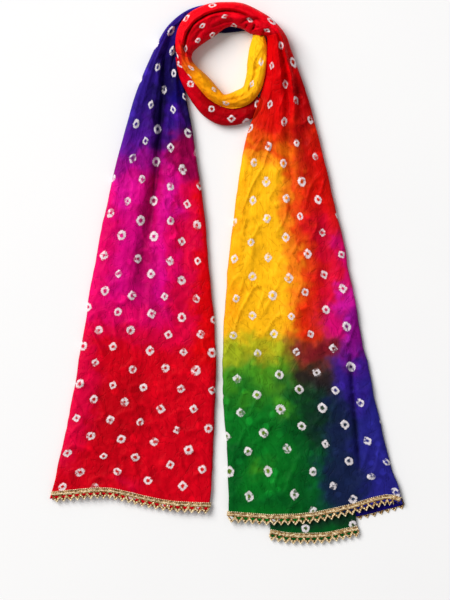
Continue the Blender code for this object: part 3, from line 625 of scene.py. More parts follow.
class Run:
    """One run of cloth, read at s, the distance along it, and u, from outer edge 0 to inner edge 1."""

    def __init__(self, table, hem=None, folded=()):
        self.values, self.hem, self.folded = table, hem, folded
        self.knots = travelled((table[:, OUTER] + table[:, INNER]) / 2)

    def rows(self, first, last, pitch):
        """Even distances along the run between two stations."""
        start, end = self.knots[first], self.knots[last]
        return np.linspace(start, end, max(3, round((end - start) / pitch) + 1))

    def across(self, s, columns):
        """Places across the run, drawn to the groove so that their middle lies in it."""
        groove = np.interp(s, self.knots, self.values[:, GROOVE])
        return columns[None, :] ** (np.log(groove) / math.log(0.5))[:, None]

    def at(self, s):
        return hermite(self.knots, self.values, s)

    def width(self, s):
        at = self.at(s)
        return np.linalg.norm(at[:, INNER] - at[:, OUTER], axis=1)

    def width_at(self, place):
        return float(self.width(np.array([place]))[0])

    def points(self, s, u):
        at = self.at(s)
        outer, inner = at[:, None, OUTER], at[:, None, INNER]
        xy = outer + u[..., None] * (inner - outer)
        if self.hem is not None:
            fade = 1 - smooth_step(s / HEM_CURVE_FADE)
            xy[..., 1] -= fade[:, None] * np.interp(u, self.hem[:, 0], self.hem[:, 1])
        return xy

    def heights(self, s, u, xy, rise):
        """Heights of the top, underside and edges before anything is lifted; rise is added to the top."""
        at = self.at(s)
        width = self.width(s)[:, None]
        crest = at[:, CREST][:, None]
        rounding = np.minimum(at[:, ROUNDING], MOST_ROUNDING * width[:, 0])[:, None]
        from_edge = np.minimum(u, 1 - u) * width
        edge = crest * EDGE_LEVEL
        if self.hem is not None:
            free = 1 - smooth_step((s - HEM_OVERHANG) / HEM_BLEND)[:, None]
            edge = edge + free * (crest - FRONT_WALL / 2 - edge)

        def arch(radius):
            return np.sqrt(1 - (1 - np.minimum(from_edge / radius, 1)) ** 2)

        from_groove = (u - np.interp(s, self.knots, self.values[:, GROOVE])[:, None]) * width
        groove = GROOVE_EXTRA * np.exp(-((from_groove / GROOVE_WIDTH) ** 2))
        groove += LOBE_STEP * (smooth_step(from_groove / LOBE_RAMP + LOBE_START) - 0.5)
        top = crest - groove * at[:, GROOVE_DEPTH][:, None] - fold_depth(self.folded, xy) + rise
        return edge + (top - edge) * arch(rounding), edge * (1 - arch(UNDER_ROUNDING * rounding)), edge


def relief(run, s, u, look):
    """Gathers along the run, deeper where it is narrow, and small creases all over it."""
    width = run.width(s)
    squeeze = smooth_step((UNGATHERED_WIDTH - width) / GATHER_SPAN)[:, None]
    drift = s[:, None] / look.length
    gathers = Noise(look.seed)(u * look.lines + GATHER_DRIFT * drift, drift) - 0.5
    gathers *= look.depth * squeeze
    x = (u - 0.5) * width[:, None]
    y = s[:, None] + 0 * x

    def ridges(seed, size, shear):
        crests = Noise(seed).ridged((x + shear[0] * y) / size[0], (y + shear[1] * x) / size[1])
        return crests ** CRINKLE_POWER - CRINKLE_MEAN

    swell = Noise(look.seed + 3)(x / SWELL_SIZE[0], y / SWELL_SIZE[1]) - 0.5
    coarse = ridges(look.seed + 1, COARSE_SIZE, COARSE_SHEAR) + SWELL_SHARE * swell
    return gathers + look.coarse * coarse + look.fine * ridges(look.seed + 2, FINE_SIZE, FINE_SHEAR)


class Sheet:
    """A stretch of cloth: its grid in the plane, top and underside heights, and hollows for painted
    shade.
    """

    def __init__(self, run, s, columns, lies_on, look, creases, loop_look=None):
        self.run, self.s = run, s
        self.u = run.across(s, columns)
        self.xy = run.points(s, self.u)
        rise = relief(run, s, self.u, look)
        if loop_look:
            share = smooth_step((s - run.knots[RIGHT_TAIL_END]) / LOOP_CHANGE + 0.5)[:, None]
            rise += share * (relief(run, s, self.u, loop_look) - rise)
        rise -= fold_depth(creases, self.xy)
        self.xy = self.xy + self.edge_wave(look.wave, look.seed + 5)
        top, under, edge = run.heights(s, self.u, self.xy, rise)
        need = rest_heights(self.xy, lies_on)
        under = np.maximum(under, need)
        least = np.full(len(columns), LEAST_BODY)
        least[0] = least[-1] = 0.0
        top = np.maximum(top, under + least[None, :])
        for column in (0, -1):
            top[:, column] = np.maximum(edge[:, 0], need[:, column])
            under[:, column] = top[:, column]
        self.top, self.under = top, under
        # How deep each point lies below its smoothed neighbours, 0 to 1; it sets the shade painted into
        # hollows
        self.hollow = np.clip((blurred(top) - top) / HOLLOW_DEPTH, 0.0, 1.0)

    def edge_wave(self, wave, seed):
        """Small wander of the two long edges in the plane."""
        width = self.run.width(self.s)[:, None]
        across = unit(self.xy[:, -1] - self.xy[:, 0])
        noise = Noise(seed)
        narrow = between(NARROW_SHARE, 1.0, smooth_step((width - NARROW_WIDTH) / NARROW_SPAN))
        shift = np.zeros(self.u.shape)
        for side, from_edge in ((0.0, self.u * width), (7.0, (1 - self.u) * width)):
            wander = noise(self.s / WAVE_LONG, 0 * self.s + side) - 0.5
            wander += SHORT_SHARE * (noise(self.s / WAVE_SHORT, 0 * self.s + side + 3) - 0.5)
            shift += wave * narrow * wander[:, None] * (1 - smooth_step(from_edge / WAVE_REACH))
        return shift[..., None] * across[:, None, :]

    def tree(self, first=0):
        """Search tree over the top, with its least and greatest corner in the plane."""
        xy, z = self.xy[first:], self.top[first:]
        tree = BVHTree.FromPolygons(stacked(xy, z).tolist(), grid_faces(numbered(*z.shape)))
        return tree, xy.min(axis=(0, 1)), xy.max(axis=(0, 1))

    def cut(self, rows=slice(None)):
        """Flat size of a folded stretch: its mean girth over every fourth column, and its length."""
        girth = 0.0
        for z in (self.top, self.under):
            over = np.concatenate([self.xy, z[..., None]], axis=-1)[rows, ::4]
            girth += float(np.linalg.norm(np.diff(over, axis=1), axis=2).sum(axis=1).mean())
        return girth, float(self.s[rows][-1] - self.s[rows][0])


def pale_spots(xy, seed):
    """Share of a paler dye in round spots strewn over the cloth, 0 to 1."""
    draw = random.Random(seed)
    share = np.zeros(xy.shape[:-1])
    low, high = xy.min(axis=(0, 1)), xy.max(axis=(0, 1))
    for _ in range(round(np.prod(high - low) / SPOT_SPACING ** 2)):
        centre = [draw.uniform(low[k], high[k]) for k in range(2)]
        radius, strength = draw.uniform(*SPOT_RADIUS), draw.uniform(*SPOT_STRENGTH)
        distance = np.linalg.norm(xy - centre, axis=-1)
        share = np.maximum(share, strength * smooth_step((radius - distance) / SPOT_EDGE))
    return share[..., None]


def dye_colours(xy, poured, warp, seed):
    """Colour at each place: the pours run into each other, with uneven fronts and a few paler spots."""
    moved = xy.copy()
    for octave, (size, share, turn) in enumerate(WARP_OCTAVES):
        x, y = turned(xy[..., 0], xy[..., 1], turn)
        for k in range(2):
            moved[..., k] += warp * share * (2 * Noise(seed + 10 * octave + k)(x / size, y / size) - 1)
    total = np.zeros(xy.shape[:-1] + (3,))
    weight = np.zeros(xy.shape[:-1] + (1,))
    for pour in poured:
        distance, _ = path_distance(moved, pour.points)
        share = np.exp(-DYE_FRONT * np.hypot(distance / pour.reach, FRONT_CORE))[..., None]
        total += share * linear(pour.shade)
        weight += share
    dye = total / weight
    return dye * (1 + pale_spots(xy, seed) * (1 - dye.max(axis=-1, keepdims=True)))


def dot_lattice(run, s, rule):
    """Dots over a stretch, by a lattice's rule."""
    draw = random.Random(rule.seed)
    full = run.width_at(0.0)
    dots = []
    row = 0
    place = s[0] + rule.start
    while place < s[-1] + DOT_RADIUS:
        width = run.width_at(min(place, s[-1]))
        step = rule.across * (width / full) ** rule.ease / width
        for k in range(-DOTS_A_SIDE, DOTS_A_SIDE + 1):
            u = 0.5 + (k + 0.5 * (row % 2)) * step + draw.uniform(-rule.jitter, rule.jitter) / width
            along = place + rule.lean * (u - 0.5) * width + draw.uniform(-rule.jitter, rule.jitter)
            size, turn = draw.uniform(*DOT_SIZE), draw.uniform(-DOT_TURN, DOT_TURN)
            dots.append(Dot(along, u, rule.size * size, turn, draw.uniform(*DOT_POWER), draw.random()))
        row += 1
        place += rule.along
    return [dot for dot in dots if -DOT_PAST_EDGE < dot.u < 1 + DOT_PAST_EDGE]


def mark_dot(near, tie, dot, dx, dy):
    """Notes a dot's distance, place and seed where it is nearer than those before it."""
    x, y = turned(dx, dy, dot.turn)
    distance = (np.abs(x) ** dot.power + np.abs(y) ** dot.power) ** (1 / dot.power) / dot.size
    nearer = distance < near
    near[nearer] = distance[nearer]
    tie[nearer] = np.stack([x, y, np.full(x.shape, dot.seed)], axis=-1)[nearer]


def dot_field(run, s, u, dots):
    """Distance of each grid point to its nearest dot, and its place as seen from it, with its seed."""
    width = run.width(s)[:, None]
    real = width * np.clip(run.width_at(0.0) / width, 1.0, DOT_MOST_GATHER) ** DOT_SQUEEZE
    near, tie = np.full(u.shape, DOT_REACH), np.zeros(u.shape + (3,))
    for dot in dots:
        rows = np.nonzero(np.abs(s - dot.s) < DOT_REACH)[0]
        if len(rows):
            part = slice(rows[0], rows[-1] + 1)
            dx = (u[part] - dot.u) * real[part]
            mark_dot(near[part], tie[part], dot, dx, (s[part] - dot.s)[:, None] + 0 * dx)
    return near, tie


def make_mesh(name, vertices, faces, material):
    mesh = bpy.data.meshes.new(name)
    mesh.from_pydata(vertices.tolist(), [], [tuple(int(v) for v in face) for face in faces])
    mesh.update()
    mesh.shade_smooth()
    mesh.materials.append(material)
    made = bpy.data.objects.new(name, mesh)
    bpy.context.scene.collection.objects.link(made)
    return made


def face_outwards(made):
    body = bmesh.new()
    body.from_mesh(made.data)
    bmesh.ops.recalc_face_normals(body, faces=body.faces)
    body.to_mesh(made.data)
    body.free()
    made.data.shade_smooth()


def thicken(made, thickness):
    """Gives a surface a wall below it, closed at its rim."""
    solid = made.modifiers.new("thickness", "SOLIDIFY")
    solid.thickness = thickness
    solid.offset = -1.0
    solid.use_rim = True


def store(mesh, name, kind, key, values):
    """Keeps a value for each vertex of a mesh."""
    mesh.attributes.new(name, kind, "POINT").data.foreach_set(key, values.astype(np.float32).ravel())


def give_attributes(made, colours, dots, ties, uv):
    """Stores the dye with any painted hollow shade, the dots and the cloth's own coordinates on a mesh.
    """
    mesh = made.data
    store(mesh, "dye", "FLOAT_COLOR", "color", np.column_stack([colours, np.ones(len(colours))]))
    store(mesh, "dot", "FLOAT", "value", dots)
    store(mesh, "tie", "FLOAT_VECTOR", "vector", ties)
    corner = np.zeros(len(mesh.loops), dtype=np.int32)
    mesh.loops.foreach_get("vertex_index", corner)
    mesh.uv_layers.new(name="cloth").data.foreach_set("uv", uv[corner].astype(np.float32).ravel())


def under_columns(count, wanted=16, ends=0.8):
    """Which columns the underside keeps, with the outermost ones among them."""
    picks = np.round(spaced(wanted, ends) * (count - 1)).astype(int)
    return np.unique([0, 1, count - 2, count - 1, *picks])


def shell(name, sheet, poured, dots, material, warp, seed, rows=slice(None)):
    """Thin cloth over the rows of a sheet, top and underside, with the hem left open below."""
    s, u, xy = sheet.s[rows], sheet.u[rows], sheet.xy[rows]
    count, columns = u.shape
    inner = under_columns(columns)[1:-1]
    upper = numbered(count, columns)
    lower = np.column_stack([upper[:, 0], numbered(count, len(inner), upper.size), upper[:, -1]])
    below = stacked(xy[:, inner], sheet.under[rows][:, inner])
    vertices = np.concatenate([stacked(xy, sheet.top[rows]), below])
    vertices[:, :2] -= PLAN_CENTRE
    first = 0 if sheet.run.hem is None else int(np.searchsorted(s, HEM_OVERHANG))
    # Painted shade: the dye is darkened in the sheet's hollows and creases
    colours = dye_colours(xy, poured, warp, seed) * (1 - HOLLOW_SHADE * sheet.hollow[rows])[..., None]
    near, ties = dot_field(sheet.run, s, u, dots)
    uv = np.stack([u * sheet.run.width(s).max(), s[:, None] + 0 * u], axis=-1)

    def both(values):
        flat = values.reshape(count * columns, -1)
        return np.concatenate([flat, values[:, inner].reshape(count * len(inner), -1)])

    made = make_mesh(name, vertices, grid_faces(upper[:, ::-1]) + grid_faces(lower[first:]), material)
    face_outwards(made)
    give_attributes(made, both(colours), both(near), both(ties), both(uv))
    thicken(made, SHELL)
    return made


def under_layer(name, run, across, hem, z, poured, dots, seed, material):
    """Flat under layer from its own hem up into the hollow of the tail."""
    inside = run.points(np.array([UNDER_REACH]), np.linspace(*across, UNDER_COLUMNS)[None, :])[0]
    step = np.linspace(0, 1, UNDER_ROWS)[:, None, None]
    xy = hem[None] + step * (inside - hem)[None]
    ripple = UNDER_RIPPLE * (Noise(seed)(xy[..., 0] / RIPPLE_SIZE[0], xy[..., 1] / RIPPLE_SIZE[1]) - 0.5)
    vertices = stacked(xy, z + ripple * smooth_step(step[..., 0] / RIPPLE_START))
    vertices[:, :2] -= PLAN_CENTRE
    made = make_mesh(name, vertices, grid_faces(numbered(UNDER_ROWS, UNDER_COLUMNS)), material)
    if made.data.polygons[0].normal.z < 0:
        made.data.flip_normals()
    near, tie = np.full(xy.shape[:2], DOT_REACH), np.zeros(xy.shape[:2] + (3,))
    for dot in dots:
        mark_dot(near, tie, dot, xy[..., 0] - dot.u, xy[..., 1] - dot.s)
    colours = dye_colours(xy, poured, UNDER_WARP, seed)
    give_attributes(made, colours.reshape(-1, 3), near, tie, xy.reshape(-1, 2))
    thicken(made, UNDER_SHELL)
    return made


class Nodes:
    """Short forms for building a node material."""

    def __init__(self, name):
        self.material = bpy.data.materials.new(name)
        self.material.use_nodes = True
        self.tree = self.material.node_tree
        self.shader = self.tree.nodes["Principled BSDF"]
        self.place = self.new("ShaderNodeTexCoord").outputs["Object"]

    def new(self, kind, inputs=None, **settings):
        node = self.tree.nodes.new(kind)
        for key, value in settings.items():
            setattr(node, key, value)
        for key, value in (inputs or {}).items():
            if isinstance(value, bpy.types.NodeSocket):
                self.tree.links.new(value, node.inputs[key])
            else:
                node.inputs[key].default_value = value
        return node

    def attribute(self, name, output):
        return self.new("ShaderNodeAttribute", attribute_name=name).outputs[output]

    def math(self, operation, a, b=0.0, c=0.0, clamp=False):
        node = self.new("ShaderNodeMath", {0: a, 1: b, 2: c}, operation=operation, use_clamp=clamp)
        return node.outputs[0]

    def times(self, a, b):
        return self.math("MULTIPLY", a, b)

    def plus(self, base, *parts):
        """Base plus each part's value times its share."""
        for value, share in parts:
            base = self.math("MULTIPLY_ADD", value, share, base)
        return base

    def noise(self, vector, scale, detail=2.0, rough=0.5, distortion=0.0):
        inputs = {"Vector": vector, "Scale": scale, "Detail": detail, "Roughness": rough}
        return self.new("ShaderNodeTexNoise", {**inputs, "Distortion": distortion}).outputs["Fac"]

    def ramp(self, value, low, high):
        """0 below low, 1 above high, smooth between, and the other way where low is above high."""
        return self.new("ShaderNodeMapRange", {"Value": value, "From Min": low, "From Max": high},
                        interpolation_type="SMOOTHSTEP").outputs["Result"]

    def mix(self, share, a, b, blend="MIX"):
        node = self.new("ShaderNodeMix", {0: share, 6: a, 7: b}, data_type="RGBA", blend_type=blend)
        return node.outputs[2]

    def crest(self, value, width):
        """1 where a noise crosses its middle, 0 from a width beside it on."""
        return self.ramp(self.math("ABSOLUTE", self.math("SUBTRACT", value, 0.5)), width, 0.0)

    def lines(self, turn, stretch, scale, width):
        """Thin lines that wander along one heading, 1 at their middle."""
        inputs = {"Vector": self.place, "Rotation": (0.0, 0.0, turn), "Scale": (stretch, 1.0, 1.0)}
        along = self.new("ShaderNodeMapping", inputs, vector_type="TEXTURE").outputs[0]
        return self.crest(self.noise(along, scale, distortion=0.2), width)

    def colour(self, red, green, blue):
        return self.new("ShaderNodeCombineColor", {0: red, 1: green, 2: blue}).outputs["Color"]

    def bump(self, height, strength, distance):
        inputs = {"Height": height, "Strength": strength, "Distance": distance}
        self.link(self.new("ShaderNodeBump", inputs).outputs["Normal"], "Normal")

    def link(self, socket, name):
        self.tree.links.new(socket, self.shader.inputs[name])


# Silk: weave thread, tied ring edges, the height of creases and ties, and shade painted on creases
THREAD = 0.0006
CORE_SPREAD = 0.0014
CORE_EDGE = 0.0008
RING_EDGES = (DOT_RADIUS + 0.0004, DOT_RADIUS - 0.0012)
RAGGED = 0.0050
RAY_REACH = (0.019, 0.007)
RING_DYE = 0.13
RING_LEAST, RING_KEPT = 0.12, 0.84
CORE_SHARE = 0.85
# Painted shade: creases and tie rays darken the colour by this tint and share
CREASE_SHADE = (0.35, 0.25, 0.3, 1.0)
CREASE_SHARE = 0.22
CREASE_RISE = -0.00045
RUMPLE_RISE = 0.00070
STREAK_RISE = 0.00200
WEAVE_RISE = 0.000012
TIE_RISE = 0.0008
TIE_REACH = 0.009


def silk():
    """Dyed silk: uneven dye, pale tied rings, a fine weave, crinkles left by the ties and painted crease
    shade.
    """
    n = Nodes("tied_silk")
    # The "dye" attribute already holds the shade painted into the hollows of the cloth
    dye, dot, tie = n.attribute("dye", "Color"), n.attribute("dot", "Fac"), n.attribute("tie", "Vector")
    cloth = n.new("ShaderNodeUVMap", uv_map="cloth").outputs["UV"]
    from_x, from_y, seed = n.new("ShaderNodeSeparateXYZ", {"Vector": tie}).outputs

    blotch = n.noise(n.place, scale=30.0, detail=3.0, rough=0.52, distortion=0.5)
    patches = n.noise(n.place, scale=150.0, detail=1.0)
    grain = n.noise(n.place, scale=380.0, rough=0.7)
    drawn_out = n.new("ShaderNodeMapping", {"Vector": cloth, "Scale": (1.0, 0.14, 1.0)}).outputs[0]
    streaks = n.noise(drawn_out, scale=58.0)
    tone = n.plus(0.50, (blotch, 0.50), (streaks, 0.28), (grain, 0.30))
    plain = n.mix(1.0, dye, n.colour(tone, tone, tone), "MULTIPLY")

    # Rays fan out from each tie, and creases run along three headings in patches of their own
    angle = n.math("ARCTAN2", from_y, from_x)
    fan = n.new("ShaderNodeCombineXYZ", {
        "X": n.plus(n.times(seed, 37.0), (n.math("COSINE", angle), 1.5)),
        "Y": n.times(n.math("SINE", angle), 1.5),
        "Z": n.times(dot, 22.0)}).outputs[0]
    rays = n.times(n.crest(n.noise(fan, scale=1.6, detail=1.0), 0.075), n.ramp(dot, *RAY_REACH))
    falling = n.lines(turn=2.15, stretch=2.6, scale=50.0, width=0.020)
    rising = n.lines(turn=0.95, stretch=2.2, scale=56.0, width=0.022)
    upright = n.lines(turn=1.60, stretch=4.0, scale=70.0, width=0.024)
    creases = rays
    for drawn, where, low, high in ((falling, blotch, 0.44, 0.60), (rising, blotch, 0.56, 0.40),
                                    (upright, patches, 0.50, 0.62)):
        creases = n.math("MAXIMUM", creases, n.times(drawn, n.ramp(where, low, high)))
    # Painted shade along the creases and rays
    body = n.mix(n.times(creases, CREASE_SHARE), plain, n.mix(1.0, plain, CREASE_SHADE, "MULTIPLY"))

    # A ring's edges are ragged and some of it is lost; its core is a paler, warmer dye
    uneven = n.noise(n.place, scale=310.0, rough=0.7)
    near = n.plus(n.math("SUBTRACT", dot, RAGGED / 2), (uneven, RAGGED))
    core = n.plus(DOT_CORE - CORE_SPREAD / 2, (seed, CORE_SPREAD))
    inside = n.ramp(near, n.math("SUBTRACT", core, CORE_EDGE), n.math("ADD", core, CORE_EDGE))
    kept = n.ramp(n.plus(patches, (seed, 0.16)), 0.38, 0.54)
    ring = n.times(n.times(inside, n.ramp(near, *RING_EDGES)), n.plus(RING_LEAST, (kept, RING_KEPT)))
    red, green, blue = n.new("ShaderNodeSeparateColor", {"Color": dye}).outputs
    warmer = n.plus(n.times(red, 1.4), (green, 1.2))
    paler = n.colour(warmer, n.plus(0.02, (green, 2.0)), n.times(blue, 1.6))
    ground = n.mix(inside, n.mix(CORE_SHARE, body, paler), body)
    n.link(n.mix(ring, ground, n.mix(RING_DYE, (*linear("cream"), 1.0), dye)), "Base Color")

    rumple = n.noise(n.place, scale=84.0, detail=3.0)
    warp, weft, _ = n.new("ShaderNodeSeparateXYZ", {"Vector": cloth}).outputs
    weave = n.times(*(n.math("SINE", n.times(way, math.tau / THREAD)) for way in (warp, weft)))
    n.bump(n.plus(0.0, (creases, CREASE_RISE), (rumple, RUMPLE_RISE), (streaks, STREAK_RISE),
                  (weave, WEAVE_RISE), (n.ramp(near, TIE_REACH, 0.0), TIE_RISE)), 1.0, 1.0)
    n.link(n.plus(0.36, (blotch, 0.20)), "Roughness")
    n.shader.inputs["Specular IOR Level"].default_value = 0.03
    return n.material


# Lace gold by brightness: DARK_GOLD is painted shade in grooves, between cords and on the foot,
# BRIGHT_GOLD painted highlight
DARK_GOLD = (0.050, 0.018, 0.004, 1.0)
GOLD = (0.50, 0.260, 0.062, 1.0)
BRIGHT_GOLD = (1.0, 0.84, 0.54, 1.0)


def gold_thread():
    """Metallic thread, wound and plaited, with painted shade between the cords and painted highlights on
    beads.
    """
    n = Nodes("gold_thread")
    speck = n.noise(n.place, scale=700.0, rough=0.6)
    patch = n.noise(n.place, scale=260.0, detail=1.0)
    share = n.plus(n.attribute("tone", "Fac"), (speck, 2.0), (patch, 1.8))
    share = n.math("SUBTRACT", share, 1.9, clamp=True)
    low = n.mix(n.math("MULTIPLY", share, 1.7, clamp=True), DARK_GOLD, GOLD)
    high = n.math("MULTIPLY_ADD", share, 2.5, -1.5, clamp=True)
    n.link(n.mix(high, low, BRIGHT_GOLD), "Base Color")
    inputs = {"Vector": n.place, "Scale": 480.0, "Distortion": 2.0, "Detail": 1.0}
    wound = n.new("ShaderNodeTexWave", inputs, bands_direction="DIAGONAL")
    n.bump(wound.outputs["Fac"], 0.7, 0.0002)
    n.link(n.plus(0.25, (speck, 0.25)), "Roughness")
    n.shader.inputs["Metallic"].default_value = 0.35
    return n.material


def pale_floor():
    n = Nodes("pale_floor")
    soft = n.noise(n.place, scale=3.0)
    n.link(n.mix(soft, (0.90, 0.90, 0.905, 1.0), (0.93, 0.93, 0.93, 1.0)), "Base Color")
    n.shader.inputs["Roughness"].default_value = 0.9
    n.shader.inputs["Specular IOR Level"].default_value = 0.1
    return n.material


class LaceLine:
    """Carries the lace: turns a place along it, a drop below its top line and a height into a point."""

    STEPS = 700
    DROPS = np.array([0.0, 0.004, 0.008, 0.0118])
    WRAP = 0.0020
    CLEAR = 0.0002
    WAY_MEAN, HEIGHT_MEAN = 41, 9

    def __init__(self, top_line, tree, rest):
        self.line, self.length = resample(top_line, self.STEPS)
        self.at = np.linspace(0, self.length, self.STEPS)
        self.along = unit(np.gradient(self.line, axis=0))
        down = np.stack([self.along[:, 1], -self.along[:, 0]], axis=1)
        down *= -np.sign(down[:, 1].mean())
        self.down = np.stack([running_mean(way, self.WAY_MEAN) for way in down.T], axis=1)
        self.z = np.full((self.STEPS, len(self.DROPS)), rest)
        if tree:
            for j, drop in enumerate(self.DROPS):
                for i, (x, y) in enumerate(self.line + drop * self.down):
                    height = height_below(tree, x, y)
                    self.z[i, j] = self.z[i - 1, j] if height is None else height
                self.z[:, j] = running_mean(self.z[:, j], self.HEIGHT_MEAN) + self.CLEAR

    def place(self, a, d, h):
        """Points for arrays of places along, drops and heights; past its ends the lace turns down."""
        inside = np.clip(a, 0.0, self.length)
        row = np.interp(inside, self.at, np.arange(self.STEPS))
        i = np.clip(row.astype(int), 0, self.STEPS - 2)
        column = np.interp(d, self.DROPS, np.arange(len(self.DROPS)))
        j = np.clip(column.astype(int), 0, len(self.DROPS) - 2)
        low = between(self.z[i, j], self.z[i + 1, j], row - i)
        high = between(self.z[i, j + 1], self.z[i + 1, j + 1], row - i)
        turn = (a - inside) / self.WRAP
        z = between(low, high, column - j) + h - (self.WRAP + h) * (1 - np.cos(turn))
        xy = []
        for k in range(2):
            on, down, along = (np.interp(inside, self.at, way[:, k])
                               for way in (self.line, self.down, self.along))
            xy.append(on + d * down + along * (self.WRAP + h) * np.sin(turn) - PLAN_CENTRE[k])
        return np.stack([*xy, z], axis=-1)


def unit_ball(rings=4, sides=8):
    """Points and faces of a coarse ball of radius 1."""
    turns = [(math.pi * i / rings, math.tau * j / sides) for i in range(1, rings) for j in range(sides)]
    body = [(math.sin(a) * math.cos(b), math.sin(a) * math.sin(b), math.cos(a)) for a, b in turns]
    points = np.array([(0.0, 0.0, 1.0), *body, (0.0, 0.0, -1.0)])
    index = numbered(rings - 1, sides, 1)
    index = np.column_stack([index, index[:, 0]])
    faces = [(0, a, b) for a, b in zip(index[0], index[0, 1:])]
    faces += [(len(points) - 1, b, a) for a, b in zip(index[-1], index[-1, 1:])]
    return points, faces + grid_faces(index)


BALL, BALL_FACES = unit_ball()


class LaceBuilder:
    """Collects the strips, cords and beads of one lace, all given as (along, drop, height)."""

    # The foot of a strip is painted dark, as shade where it meets the cloth
    FOOT_TONE = 0.1

    def __init__(self, lace_line):
        self.line = lace_line
        self.vertices, self.faces, self.tones = [], [], []
        self.count = 0

    def add(self, flat, faces, tone):
        self.vertices.append(self.line.place(*flat.T))
        self.faces.extend(tuple(v + self.count for v in face) for face in faces)
        self.tones.append(np.broadcast_to(tone, len(flat)))
        self.count += len(flat)

    def tube(self, rings, tone):
        """Closed tube over an array of rings."""
        index = numbered(*rings.shape[:2])
        faces = grid_faces(np.column_stack([index, index[:, 0]]))
        self.add(rings.reshape(-1, 3), faces + [tuple(index[0, ::-1]), tuple(index[-1])], tone)

    def strip(self, profile, start, end, pitch):
        """Strip whose cross-section runs over the profile and back along its foot."""
        drops, heights, tones = np.array(profile).T
        places = np.linspace(start, end, max(2, round((end - start) / pitch)))
        rings = np.zeros((len(places), 2 * len(drops), 3))
        rings[..., 0] = places[:, None]
        rings[..., 1] = np.concatenate([drops, drops[::-1]])
        rings[:, :len(drops), 2] = heights
        tone = np.concatenate([tones, np.full(len(tones), self.FOOT_TONE)])
        self.tube(rings, np.tile(tone, len(places)))

    def cord(self, path, radius, tone, sides=6, flatten=0.8):
        """Cord along a path, a little flatter than round."""
        heading = unit(np.gradient(path[:, :2], axis=0))
        turn = math.tau * np.arange(sides) / sides
        rings = np.repeat(path[:, None], sides, axis=1)
        rings[..., 0] -= radius * heading[:, 1:] * np.cos(turn)
        rings[..., 1] += radius * heading[:, :1] * np.cos(turn)
        rings[..., 2] += flatten * radius * np.sin(turn)
        self.tube(rings, tone)

    def bead(self, a, kind, turn):
        x, y, z = (BALL * kind.half_sizes).T
        x, y = turned(x, y, -turn)
        self.add(np.column_stack([a + x, kind.drop + y, kind.lift + z]), BALL_FACES, kind.tone)

    def make(self, name, painted_shadow, material):
        made = make_mesh(name, np.concatenate(self.vertices), self.faces, material)
        face_outwards(made)
        store(made.data, "tone", "FLOAT", "value", np.concatenate(self.tones) - painted_shadow)
        return made


# Cross-section of the lace's band: drop below its top line, height, and brightness as painted shade and
# highlight
BAND = ((0.0017, 0.0001, 0.0), (0.0021, 0.0002, 0.0), (0.0026, 0.0006, 0.4), (0.0034, 0.0008, 0.8),
        (0.0041, 0.0006, 0.3), (0.0044, 0.0003, 0.0), (0.0047, 0.0009, 0.8), (0.0054, 0.0014, 1.1),
        (0.0061, 0.0009, 0.7), (0.0064, 0.0003, 0.0), (0.0070, 0.0008, 0.6), (0.0077, 0.0008, 0.5),
        (0.0082, 0.0002, 0.0))
BAND_PITCH = 0.0010

# Plaited cords: drops of their roots and points, radius and brightness
CORDS = ((0.0080, LACE_BAND + 0.0068, 0.00085, 0.35), (0.0104, LACE_BAND + 0.0092, 0.00100, 0.78))
CORD_STEPS = 13
CORD_BEND = 1.12
CORD_LIFT = 0.0006

# Small rounded beads, by half their length, width and height, and how far they turn
Bead = namedtuple("Bead", "drop lift half_sizes turn loose tone")
# Beads are the brightest parts, so they take painted highlights
STITCH_BEAD = Bead(0.0010, 0.0007, (0.0014, 0.0008, 0.0006), 0.0, 0.2, 1.0)
TIP = LACE_BAND + LACE_POINT - 0.0009
TIP_BEAD = Bead(TIP, CORD_LIFT, (0.0013, 0.0015, 0.0010), 0.0, 0.2, 1.2)
SIDE_BEAD = Bead(TIP - 0.0034, CORD_LIFT + 0.0005, (0.0009, 0.0014, 0.0009), -0.7, 0.2, 1.1)
ROOT_BEAD = Bead(0.0098, CORD_LIFT + 0.0002, (0.0010, 0.0014, 0.0009), 0.0, 0.0, 0.9)
STITCH = 0.0032
SIDE_STEP = 0.0022
WRAP_TURN = 0.0055
LACE_ENDS = (0.004, 0.996)


def lace(name, top_line, tree, rest, seed, material, painted_shadow=0.0):
    """Gold lace: chain stitches, a ribbed band, and zigzag cords with beads at their points.

    The tree holds the cloth it lies on, and there its ends turn over the edges. Its last argument paints
    shadow on it.
    """
    on = LaceLine(top_line, tree, rest)
    builder = LaceBuilder(on)
    draw = random.Random(seed)

    def bead(a, kind, way=1):
        turn = draw.uniform(-kind.loose, kind.loose) if kind.loose else 0.0
        builder.bead(a, kind, way * kind.turn + turn)

    turn_over = WRAP_TURN if tree else 0.0
    start, end = -turn_over, on.length + turn_over
    builder.strip(BAND, start, end, BAND_PITCH)
    for k in range(round((end - start) / STITCH)):
        bead(start + (k + 0.5) * STITCH, STITCH_BEAD)
    count = max(2, round(on.length / LACE_PITCH))
    pitch = on.length / count
    steps = np.linspace(-1, 1, CORD_STEPS)
    for k in range(count):
        middle = (k + 0.5) * pitch
        for root, point, radius, tone in CORDS:
            drops = root + (point - root) * (1 - np.abs(steps) ** CORD_BEND)
            path = np.column_stack([middle + steps * pitch / 2, drops, np.full(CORD_STEPS, CORD_LIFT)])
            builder.cord(path, radius, tone)
        bead(middle, TIP_BEAD)
        for way in (-1, 1):
            bead(middle + way * SIDE_STEP, SIDE_BEAD, way)
        if k:
            bead(k * pitch, ROOT_BEAD)
    return builder.make(name, painted_shadow, material)


